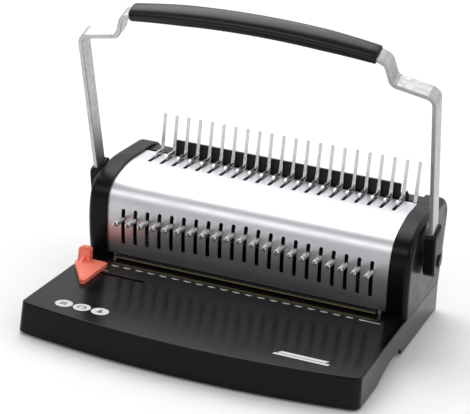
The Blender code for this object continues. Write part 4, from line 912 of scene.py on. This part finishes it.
def pull_pin(number):
    node = f"release_pin_{number:02d}"
    low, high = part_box(node)
    centre = ((low.x + high.x) / 2, (low.z + high.z) / 2)
    neck_out = skin_front - KNOB_GAP
    neck_in = skin_front + NECK_BEHIND
    shape = bmesh.new()
    profile = [(1.55 * MM, low.y + 4.5 * MM), (1.75 * MM, low.y + 0.35 * MM), (2.0 * MM, low.y)]
    rim = 2.35 * MM
    for step in range(1, 5):
        angle = math.pi / 2 * step / 4
        wide = rim + (KNOB - rim) * math.sin(angle)
        profile.append((wide, low.y + 0.7 * MM * (1 - math.cos(angle))))
    profile += [(KNOB, neck_out - 0.6 * MM), (KNOB * 0.82, neck_out), (NECK, neck_out)]
    profile += [(NECK, neck_in), (KNOB, neck_in), (KNOB, high.y)]
    turned(shape, centre, "Y", profile, 32)
    return make(f"pull_pin_{number:02d}", shape, pin_chrome, node, [node], sharp=40)


pins = [pull_pin(number) for number in range(1, DIES + 1)]
print("pins:", len(pins))

# %% [markdown]
# ## Prongs and hooks
#
# The prongs are stamped from one steel plate and barrel-plated, so their edges are soft and their
# tips round. The hooks of the opener are thin steel fingers, also stamped. Both start from a flat
# outline; the difference is only the direction in which the outline is carried.

# %% The prong plate
plate_low, plate_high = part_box("comb_plate")
PRONGS = DIES + 1
PRONG_HEIGHT = 48.0 * MM
PRONG_HALF = 2.3 * MM
PRONG_TAPER = 0.8


def prong_plate():
    root = plate_high.z - PRONG_HEIGHT
    half = PRONG_HALF
    outline = [(plate_low.x, plate_low.z), (plate_high.x, plate_low.z), (plate_high.x, root)]
    for number in range(PRONGS, 0, -1):
        x = die_x(number)
        tip = half * PRONG_TAPER
        side = [(half, root)]
        side += bend((half, root), (half, root + PRONG_HEIGHT * 0.2),
                     (tip, root + PRONG_HEIGHT * 0.3), (tip, root + PRONG_HEIGHT * 0.5), 6)
        for step in range(6):
            angle = math.pi / 2 * step / 6
            side.append((tip * math.cos(angle), plate_high.z - tip * (1 - math.sin(angle))))
        outline += [(x + a, b) for a, b in side] + [(x, plate_high.z)]
        outline += [(x - a, b) for a, b in reversed(side)]
    outline[3] = (die_x(PRONGS) + half, root)
    outline.append((plate_low.x, root))
    shape = bmesh.new()
    prism(shape, outline, "Y", plate_low.y, plate_high.y)
    return make("prong_plate", shape, prong_chrome, "machine", ["comb_plate"],
                edge=0.35 * MM, steps=3, sharp=38)


prong_plate()

# %% The opener's hooks
rake_low, rake_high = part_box("opener_rake")
RAKE_HALF = 151.97 * MM
FINGER_TALL = 4.2 * MM
FINGER_HALF = 1.3 * MM


def hook_rake():
    low = rake_low.z
    bar_high = low + 3.0 * MM
    stem = rake_low.y + 5.0 * MM
    reach = rake_high.y
    top = rake_high.z
    under = top - FINGER_TALL
    bar_half = RAKE_HALF
    shape = bmesh.new()
    block(shape, (-bar_half, bar_half), (rake_low.y, rake_low.y + 16 * MM), (low, bar_high))
    fingers = bmesh.new()
    outline = [(stem, low + 1 * MM), (stem + 6 * MM, low + 1 * MM), (stem + 6 * MM, under)]
    outline += [(reach, under + 0.8 * MM), (reach, top - 1.2 * MM), (reach - 3 * MM, top - 0.4 * MM)]
    outline += [(stem + 3 * MM, top), (stem, top - 2.2 * MM)]
    outline = rounded(outline, [0, 0, 1.5 * MM, 0.8 * MM, 0.8 * MM, 4 * MM, 3 * MM, 1.5 * MM], 5)
    for number in range(1, DIES + 1):
        x = die_x(number)
        prism(fingers, outline, "X", x - FINGER_HALF, x + FINGER_HALF)
    tongues = bmesh.new()
    for _, side in ENDS:
        block(tongues, span(side, bar_half - 3 * MM, rake_high.x),
              (rake_low.y + 3 * MM, rake_low.y + 13 * MM), (low + 0.15 * MM, bar_high - 0.15 * MM))
    return make("hook_rake", shape, prong_chrome, "opener", ["opener_rake"],
                edge=0.35 * MM, tools=(("UNION", fingers), ("UNION", tongues)), sharp=38)


hook_rake()

# %% Rest strip and stop peg
strip_low, strip_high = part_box("comb_rest_strip")
peg_low, peg_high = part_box("comb_stop_peg")


def rest_strip():
    shape = bmesh.new()
    outline = [(strip_low.x, strip_low.z), (strip_high.x, strip_low.z),
               (strip_high.x, strip_high.z), (strip_low.x, strip_high.z)]
    prism(shape, rounded(outline, [0, 0, 2 * MM, 2 * MM], 8), "Y", strip_low.y, strip_high.y)
    make("rest_strip", shape, strip_black, "machine", ["comb_rest_strip"],
         edge=0.5 * MM, steps=3)


def stop_peg():
    centre = ((peg_low.x + peg_high.x) / 2, (peg_low.y + peg_high.y) / 2)
    wide = (peg_high.y - peg_low.y) / 2
    tall = peg_high.z - peg_low.z
    shape = bmesh.new()
    profile = [(wide, peg_low.z), (wide, peg_low.z + 0.12 * tall)]
    for step in range(1, 8):
        share = step / 8
        shrunk = wide * math.cos(share * math.pi / 2) ** 0.8
        profile.append((shrunk, peg_low.z + tall * (0.12 + 0.88 * share)))
    profile.append((wide * 0.08, peg_high.z))
    turned(shape, centre, "Z", profile, 28)
    make("stop_peg", shape, foot_rubber, "machine", ["comb_stop_peg"])


rest_strip()
stop_peg()

# %% [markdown]
# ## The bail handle
#
# The handle is one flat bar bent cold: up each side, in over a stepped shoulder, and across in a low
# arch. It leans towards the user, so its outline is drawn flat in its own plane, X across and "up"
# along the lean, and then tilted about the shaft. Bends in cold steel are round on the inside as
# well, so every corner gets a real radius.

# %% The handle's line
LEAN = math.radians(22.5)
BAR_THICK = 5.0 * MM
BAR_WIDTH = 20.0 * MM
BAR_FOOT = 20.0 * MM
GRIP_ARCH = 10.0 * MM
arm_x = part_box("handle_bar")[1].x - BAR_THICK / 2


def leaning(x, up, across):
    """A point from the handle's own plane: X, up the lean, and to the rear across it."""
    y = shaft_y - up * math.sin(LEAN) + across * math.cos(LEAN)
    z = shaft_z + up * math.cos(LEAN) + across * math.sin(LEAN)
    return (x, y, z)


def side_corners():
    """The right half of the bar's middle line: X, distance up the lean and bend radius."""
    moves = ((0, 0, 0.0), (0, 199.5, 10.0), (-44.5, 9.0, 8.0), (-6.0, 23.0, 8.0), (-9.5, 4.5, 0.0))
    x, up = arm_x, BAR_FOOT
    corners = []
    for across, rise, radius in moves:
        x += across * MM
        up += rise * MM
        corners.append((x, up, radius * MM))
    return corners


def arch(steps):
    """The line of the bar inside the grip, right to left."""
    x_end, up_end, _ = side_corners()[-1]
    shares = [1 - 2 * i / steps for i in range(steps + 1)]
    return [(x_end * s, up_end + GRIP_ARCH * (1 - s * s)) for s in shares]


def bar_line():
    right = side_corners()[:-1]
    middle = arch(28)
    points = [(x, up) for x, up, _ in right] + middle + [(-x, up) for x, up, _ in reversed(right)]
    radii = [r for _, _, r in right] + [0.0] * len(middle) + [r for _, _, r in reversed(right)]
    return rounded(points, radii, 10)


def flat_bar(line, thick, width):
    outline = beside(line, thick / 2) + beside(line, -thick / 2)[::-1]
    shape = bmesh.new()
    loft(shape, [[leaning(x, up, across) for x, up in outline] for across in (-width / 2, width / 2)])
    return shape


make("bent_bar", flat_bar(bar_line(), BAR_THICK, BAR_WIDTH), bar_satin, "handle",
     ["handle_bar"], edge=0.9 * MM, steps=4, sharp=40)

# %% [markdown]
# ## The grip
#
# The grip is moulded over the bar. Its section is a soft rectangle, between an ellipse and a box, and
# a superellipse gives that with one number. A shallow crease runs along its front, and each end is
# rolled over a short lip instead of being cut square.

# %% The grip
GRIP_HEIGHT = 16.5 * MM
GRIP_DEPTH = 27.0 * MM
LIP = 2.2 * MM
SQUARENESS = 2.6
CREASE = 0.55 * MM


def grip_ring(share, x_end, up_end, draw_in):
    """One section of the grip, drawn in near its ends."""
    ease = min(1.0, 0.86 + 0.14 * math.sin(math.pi * (1 - abs(share)) * 0.5) * 1.6)
    half_up = GRIP_HEIGHT / 2 * ease - draw_in
    half_across = GRIP_DEPTH / 2 * ease - draw_in
    x = x_end * share
    middle = up_end + GRIP_ARCH * (1 - share * share)
    slope = 2 * GRIP_ARCH * share / x_end
    ring = []
    count = 64
    for j in range(count):
        turn = 2 * math.pi * j / count
        cos, sin = math.cos(turn), math.sin(turn)
        square = (abs(cos) ** SQUARENESS + abs(sin) ** SQUARENESS) ** (-1 / SQUARENESS)
        across = half_across * cos * square
        rise = half_up * sin * square
        crease = math.exp(-(((rise / half_up) + 0.12) / 0.16) ** 2) if cos < 0 else 0.0
        across += CREASE * crease * (1 - abs(share) ** 6)
        ring.append(leaning(x + rise * slope, middle + rise, across))
    return ring


def grip():
    x_end, up_end, _ = side_corners()[-1]
    steps = 6
    lip_share = LIP / x_end
    inner = 1 - lip_share
    stations = [(1 - lip_share * (step / steps), LIP * 0.7 * (1 - math.sin(math.pi / 2 * step / steps)))
                for step in range(steps)]
    count = 40
    stations += [(inner - 2 * inner * i / count, 0.0) for i in range(count + 1)]
    stations += [(-share, draw_in) for share, draw_in in reversed(stations[:steps])]
    shape = bmesh.new()
    loft(shape, [grip_ring(share, x_end, up_end, draw_in) for share, draw_in in stations])
    line = arch(28)
    (x0, up0), (x1, up1) = line[0], line[1]
    longer = [(2 * x0 - x1, 2 * up0 - up1)] + line + [(-(2 * x0 - x1), 2 * up0 - up1)]
    channel = flat_bar(longer, BAR_THICK + 1 * MM, BAR_WIDTH + 1 * MM)
    return make("soft_grip", shape, grip_skin, "handle", ["handle_grip"],
                tools=(("DIFFERENCE", channel),), sharp=50)


grip()

# %% [markdown]
# ## Lever hubs
#
# A hub clamps the foot of the bar and turns on the shaft. It is a block with a half-round lower end.
# The outline is drawn once in the handle's plane and stepped inwards over a quarter circle, as the
# caps are, so that its outer edge is a proper radius. A sunk ring round the shaft cap breaks up the
# plain face.

# %% Lever hubs
HUB_RADIUS = 18.0 * MM
HUB_UP = 42.0 * MM
HUB_TOP_HALF = 13.5 * MM
HUB_EDGE = 2.5 * MM
SHAFT_BORE = 6.3 * MM
SUNK_RING = 9.4 * MM


def hub(name, side):
    low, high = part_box("hub_" + name)
    near, far = sorted((abs(low.x), abs(high.x)))
    corners = []
    for i in range(33):
        turn = math.pi + math.pi * i / 32
        corners.append((HUB_RADIUS * math.cos(turn), HUB_RADIUS * math.sin(turn)))
    top = [(HUB_TOP_HALF, HUB_UP), (-HUB_TOP_HALF, HUB_UP)]
    outline = rounded(corners + top, [0.0] * 33 + [4 * MM, 4 * MM], 6)
    rings = [(near, 0.6 * MM), (near + 0.6 * MM, 0.0)]
    steps = 6
    for step in range(steps + 1):
        angle = math.pi / 2 * step / steps
        rings.append((far - HUB_EDGE * (1 - math.sin(angle)), HUB_EDGE * (1 - math.cos(angle))))
    shape = bmesh.new()
    made = []
    for x, inset in rings:
        scale = 1 - inset / HUB_RADIUS
        made.append([leaning(side * x, up * scale, across * scale) for across, up in outline])
    loft(shape, made)
    foot_line = [(side * arm_x, BAR_FOOT - 0.3 * MM), (side * arm_x, HUB_UP + 4 * MM)]
    pocket = flat_bar(foot_line, BAR_THICK + 0.6 * MM, BAR_WIDTH + 0.6 * MM)
    bore = bmesh.new()
    x = span(side, near - 2 * MM, abs(shaft_high.x) + 0.3 * MM)
    turned(bore, (shaft_y, shaft_z), "X", [(SHAFT_BORE, edge) for edge in x], 36)
    ring = bmesh.new()
    x = span(side, far - 0.5 * MM, far + 2 * MM)
    turned(ring, (shaft_y, shaft_z), "X", [(SUNK_RING, edge) for edge in x], 48)
    tools = (("DIFFERENCE", pocket), ("DIFFERENCE", bore), ("DIFFERENCE", ring))
    make("lever_hub_" + name, shape, hub_black, "handle", ["hub_" + name],
         edge=0.3 * MM, tools=tools)
    cap_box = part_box("hub_cap_" + name)
    inner, outer = sorted((abs(cap_box[0].x), abs(cap_box[1].x)))
    disc = bmesh.new()
    profile = [(7.0 * MM, inner)]
    for step in range(7):
        angle = math.pi / 2 * step / 6
        profile.append((5.8 * MM + 1.2 * MM * math.cos(angle), outer - 1.0 * MM * (1 - math.sin(angle))))
    profile.append((2.0 * MM, outer - 0.15 * MM))
    turned(disc, (shaft_y, shaft_z), "X", [(r, side * x) for r, x in profile], 40)
    make("shaft_cap_" + name, disc, cap_black, "handle", ["hub_cap_" + name])


for end_name, end_side in ENDS:
    hub(end_name, end_side)

# %% [markdown]
# ## The sliding guide
#
# The paper's left edge rests against this guide. A plate shaped like a wedge, an upright tab for the
# thumb and a boss through the slot are moulded in one. The three are joined by Booleans and then the
# whole outside is softened at once, which gives the even radius of a moulding.

# %% The sliding guide


def sliding_guide():
    left, right = guide_low.x, guide_high.x
    front, rear = guide_low.y, guide_high.y
    low = deck_top + 0.3 * MM
    outline = [(right, front), (right, rear), (left, rear), (left, rear - 16 * MM)]
    outline.append((right - 5 * MM, front))
    radii = [1.5 * MM, 3 * MM, 3 * MM, 6 * MM, 2.5 * MM]
    shape = bmesh.new()
    prism(shape, rounded(outline, radii, 8), "Z", low, low + 4.6 * MM)
    tab = bmesh.new()
    wide = 14 * MM
    tall = guide_high.z
    corners = [(left, low + 1 * MM), (left + wide, low + 1 * MM), (left + wide, tall), (left, tall)]
    prism(tab, rounded(corners, [0, 0, 4 * MM, 4 * MM], 8), "Y", rear - 8 * MM, rear - 0.5 * MM)
    rib = bmesh.new()
    ribs = [(rear - 8 * MM, low + 3 * MM), (rear - 8 * MM, tall - 9 * MM)]
    ribs.append((rear - 20 * MM, low + 3 * MM))
    prism(rib, ribs, "X", left + 5.5 * MM, left + 8.5 * MM)
    boss = bmesh.new()
    lengths = (SLOT_Y[0] + GUIDE_RUN, SLOT_Y[1] - GUIDE_RUN)
    block(boss, (boss_left, boss_left + BOSS_LONG), lengths, (guide_low.z, low + 2 * MM))
    tools = (("UNION", tab), ("UNION", rib), ("UNION", boss))
    make("sliding_guide", shape, guide_red, "guide", ["edge_guide"],
         edge=0.7 * MM, steps=4, tools=tools)


sliding_guide()

# %% [markdown]
# ## The print on the deck
#
# A row of ticks shows where each hole will fall, one long dash marks the end of the row, and three
# round signs tell how the machine is used. Print is geometry here: thin plates a few hundredths of a
# millimetre thick, lying on the deck, so that their edges stay crisp at any size. The signs are
# generic drawings: a stack of sheets, a comb ring and an arrow.

# %% The print
INK = 0.06 * MM
print_low = deck_top + 0.01 * MM
TICK_Y = -0.5 * MM


def stamp(name, outlines, finish, lift=0.0):
    """Flat printed shapes lying on the deck."""
    shape = bmesh.new()
    for outline in outlines:
        prism(shape, outline, "Z", print_low + lift, print_low + lift + INK)
    return make(name, shape, finish, "machine")


def bar_shape(x_low, x_high, y_low, y_high, slant=0.0):
    return [(x_low, y_low), (x_high, y_low), (x_high + slant, y_high), (x_low + slant, y_high)]


def tick(x):
    """A tick: a short dash with a small drop below its middle."""
    wide, tall, drop = 4.0 * MM, 1.15 * MM, 1.4 * MM
    return [(x - wide, TICK_Y - tall), (x - 1.4 * MM, TICK_Y - tall), (x, TICK_Y - tall - drop),
            (x + 1.4 * MM, TICK_Y - tall), (x + wide, TICK_Y - tall), (x + wide, TICK_Y + tall),
            (x - wide, TICK_Y + tall)]


ticks = [tick(die_x(number)) for number in range(1, DIES + 1)]
ticks.append(bar_shape(die_x(DIES) + 4.1 * MM, 162.6 * MM, TICK_Y - 0.85 * MM, TICK_Y + 0.85 * MM))
ticks.append(bar_shape(-150 * MM, -143 * MM, -20.4 * MM, -19.2 * MM))
stamp("hole_ticks", ticks, pale_ink)

SIGN_Y = -129.5 * MM
SIGN_X = (-144.1 * MM, -123.7 * MM, -103.1 * MM)
SIGN_RADIUS = 9.4 * MM
stamp("sign_discs", [circle((x, SIGN_Y), SIGN_RADIUS, 48) for x in SIGN_X], pale_ink)


def sheets_sign(x):
    rows = (-3.2, -0.6, 2.0)
    near, far = x - 4.5 * MM, x + 3 * MM
    return [bar_shape(near, far, SIGN_Y + r * MM, SIGN_Y + (r + 1.4) * MM, 0.8 * MM) for r in rows]


def ring_sign(x):
    """A comb ring: an open circle drawn as short strokes."""
    strokes = []
    for i in range(10):
        turn = math.radians(-60 + 30 * i)
        near, far = 3.0 * MM, 5.0 * MM
        half = math.radians(12)
        corners = ((near, turn - half), (far, turn - half), (far, turn + half), (near, turn + half))
        strokes.append([(x + r * math.cos(a), SIGN_Y + r * math.sin(a)) for r, a in corners])
    return strokes


def arrow_sign(x):
    head = [(x - 4 * MM, SIGN_Y - 0.5 * MM), (x, SIGN_Y - 4.6 * MM), (x + 4 * MM, SIGN_Y - 0.5 * MM)]
    return [head, bar_shape(x - 1.3 * MM, x + 1.3 * MM, SIGN_Y - 0.5 * MM, SIGN_Y + 4.4 * MM)]


signs = sheets_sign(SIGN_X[0]) + ring_sign(SIGN_X[1]) + arrow_sign(SIGN_X[2])
stamp("sign_drawings", signs, dark_ink, lift=INK)

PLATE_Y = -131.0 * MM
badge = [bar_shape(88 * MM, 146 * MM, PLATE_Y - 4.2 * MM, PLATE_Y + 0.2 * MM, 1.5 * MM)]
badge.append(bar_shape(91.5 * MM, 142 * MM, PLATE_Y + 1.2 * MM, PLATE_Y + 6.6 * MM, 3.0 * MM))
stamp("blank_badge", badge, pale_ink)
print("printed shapes:", len(ticks) + len(signs) + len(SIGN_X) + len(badge))

# %% [markdown]
# ## The gold lip
#
# The sheet over the dies is painted black as painted shade for the dark band under the cover; its
# sheared front edge keeps the yellow zinc. Under the cover it shows as one thin gold line, so it is a
# thin strip laid against the sheet's front edge.

# %% The gold lip
sheet_low, sheet_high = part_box("punch_guide")
lip = bmesh.new()
lip_x = (sheet_low.x + 0.3 * MM, sheet_high.x - 0.3 * MM)
lip_y = (sheet_low.y - 0.12 * MM, sheet_low.y - 0.02 * MM)
block(lip, lip_x, lip_y, (sheet_low.z + 0.3 * MM, sheet_low.z + 1.7 * MM))
make("gold_lip", lip, guide_gold, "machine")

# %% [markdown]
# ## Finishes for the mechanics
#
# The solids that stay as they are sit deep in the machine, but light finds them through the slots and
# from below. Most get the finish their maker would order: zinc on the frames, ground steel on the dies
# and black oxide on the ram so that the slots read dark. The punch guide is painted black oxide too,
# as painted shade for the band under the cover; its yellow zinc shows only on a separate gold strip
# along its front edge, a thin gold line under the cover.

# %% Paint the mechanics
finishes = {
    frame_zinc: ["side_frame_left", "side_frame_right", "rake_arm_left", "rake_arm_right",
                 "edge_guide_keeper"],
    tool_steel: ["die_plate", "paper_stop", "punch_shaft", "ram_crank_left", "ram_crank_right",
                 "opener_crank_left", "opener_crank_right", "ram_spring_left", "ram_spring_right"],
    # The punch guide's black is painted shade for the band under the cover.
    black_oxide_and_shade: ["ram_with_punches", "punch_guide"],
    plate_steel: ["base_plate"],
    tray_black: ["chip_tray"],
}
for finish, names in finishes.items():
    for node_name in names:
        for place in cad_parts[node_name].material_slots:
            place.material = finish
print("painted solids:", sum(len(names) for names in finishes.values()))

# %% [markdown]
# ## Floor, light and camera
#
# The studio is a pale sweep with big soft lights. The curved cover is a mirror that has been
# softened, so what it shows is the room: a bright front box makes the band above the pins, the
# darker ceiling between the lights makes the soft grey band over the shoulder, and the black deck
# makes the foot of the cover fall away.

# %% The studio
FLOOR_HALF = 6.0
FLOOR_DROP = 0.2 * MM
ROOM_STRENGTH = 1.25
FRONT_TONES = ((0.0, 0.05), (0.20, 0.08), (0.38, 0.60), (0.66, 0.62), (0.82, 0.30), (1.0, 0.28))
REAR_TONES = ((0.0, 0.60), (0.30, 0.66), (0.60, 0.95), (0.86, 0.50), (1.0, 0.28))


def studio_floor():
    shape = bmesh.new()
    count = 24
    marks = [FLOOR_HALF * (2 * i / count - 1) for i in range(count + 1)]
    rows = [[shape.verts.new((x, y, -FLOOR_DROP)) for x in marks] for y in marks]
    for low, high in zip(rows, rows[1:]):
        for j in range(count):
            shape.faces.new((low[j], low[j + 1], high[j + 1], high[j]))
    sweep = raw("studio_floor", shape)
    finish = Finish("studio_sweep", Specular_IOR_Level=0.2)
    paper = finish.grain(40 * MM, 3)
    finish.colour(finish.blend(finish.between(paper, 0, 1), (0.90, 0.90, 0.90), (0.92, 0.92, 0.92)))
    finish.roughness(finish.between(paper, 0.85, 0.95))
    sweep.data.materials.append(finish.material)


def softbox(name, place, aim, wide, tall, power):
    lamp = bpy.data.lights.new(name, "AREA")
    lamp.shape = "RECTANGLE"
    lamp.size = wide
    lamp.size_y = tall
    lamp.energy = power
    item = bpy.data.objects.new(name, lamp)
    bpy.context.scene.collection.objects.link(item)
    item.location = place
    item.rotation_euler = (Vector(aim) - Vector(place)).to_track_quat("-Z", "Y").to_euler()


def tones(nodes, stops):
    """A grey ramp from (position, tone) pairs."""
    ramp = nodes.new("ShaderNodeValToRGB")
    ramp.color_ramp.elements[0].position = stops[0][0]
    ramp.color_ramp.elements[1].position = stops[-1][0]
    for place, _ in stops[1:-1]:
        ramp.color_ramp.elements.new(place)
    for element, (_, tone) in zip(ramp.color_ramp.elements, stops):
        element.color = (tone, tone, tone, 1.0)
    return ramp


def room():
    """A studio whose light depends on direction: bright behind, a bright band in front, grey above."""
    world = bpy.data.worlds.new("room")
    bpy.context.scene.world = world
    world.use_nodes = True
    nodes, links = world.node_tree.nodes, world.node_tree.links
    ways = nodes.new("ShaderNodeTexCoord")
    split = nodes.new("ShaderNodeSeparateXYZ")
    links.new(ways.outputs["Generated"], split.inputs["Vector"])
    front = tones(nodes, FRONT_TONES)
    rear = tones(nodes, REAR_TONES)
    for ramp in (front, rear):
        links.new(split.outputs["Z"], ramp.inputs["Fac"])
    turn = nodes.new("ShaderNodeMapRange")
    turn.inputs["From Min"].default_value = -0.35
    turn.inputs["From Max"].default_value = 0.35
    links.new(split.outputs["Y"], turn.inputs["Value"])
    mix = nodes.new("ShaderNodeMix")
    mix.data_type = "RGBA"
    links.new(turn.outputs["Result"], mix.inputs["Factor"])
    colours = [s for s in mix.inputs if s.type == "RGBA"]
    links.new(front.outputs["Color"], colours[0])
    links.new(rear.outputs["Color"], colours[1])
    links.new([s for s in mix.outputs if s.type == "RGBA"][0], nodes["Background"].inputs["Color"])
    nodes["Background"].inputs["Strength"].default_value = ROOM_STRENGTH


studio_floor()
room()
DRUM = (0, 0, 0.1)
softbox("high_box", (-0.9, 1.1, 2.6), (0, 0, 0), 2.2, 2.2, 46)
softbox("front_box", (-0.6, -2.4, 1.5), DRUM, 2.0, 0.6, 12)
softbox("right_box", (2.2, -0.6, 0.9), DRUM, 0.7, 1.2, 8)

# %% The camera
TURN, LIFT, ROLL = math.radians(18.41), math.radians(18.81), math.radians(5.467)
lens = bpy.data.cameras.new("camera")
lens.lens = 138.417
lens.sensor_width = 36.0
camera = bpy.data.objects.new("camera", lens)
bpy.context.scene.collection.objects.link(camera)
camera.matrix_world = (
    Matrix.Translation((0.56504, -1.72956, 0.75264))
    @ Matrix.Rotation(TURN, 4, "Z")
    @ Matrix.Rotation(math.pi / 2 - LIFT, 4, "X")
    @ Matrix.Rotation(ROLL, 4, "Z")
)
bpy.context.scene.camera = camera
bpy.context.scene.view_settings.view_transform = "Standard"
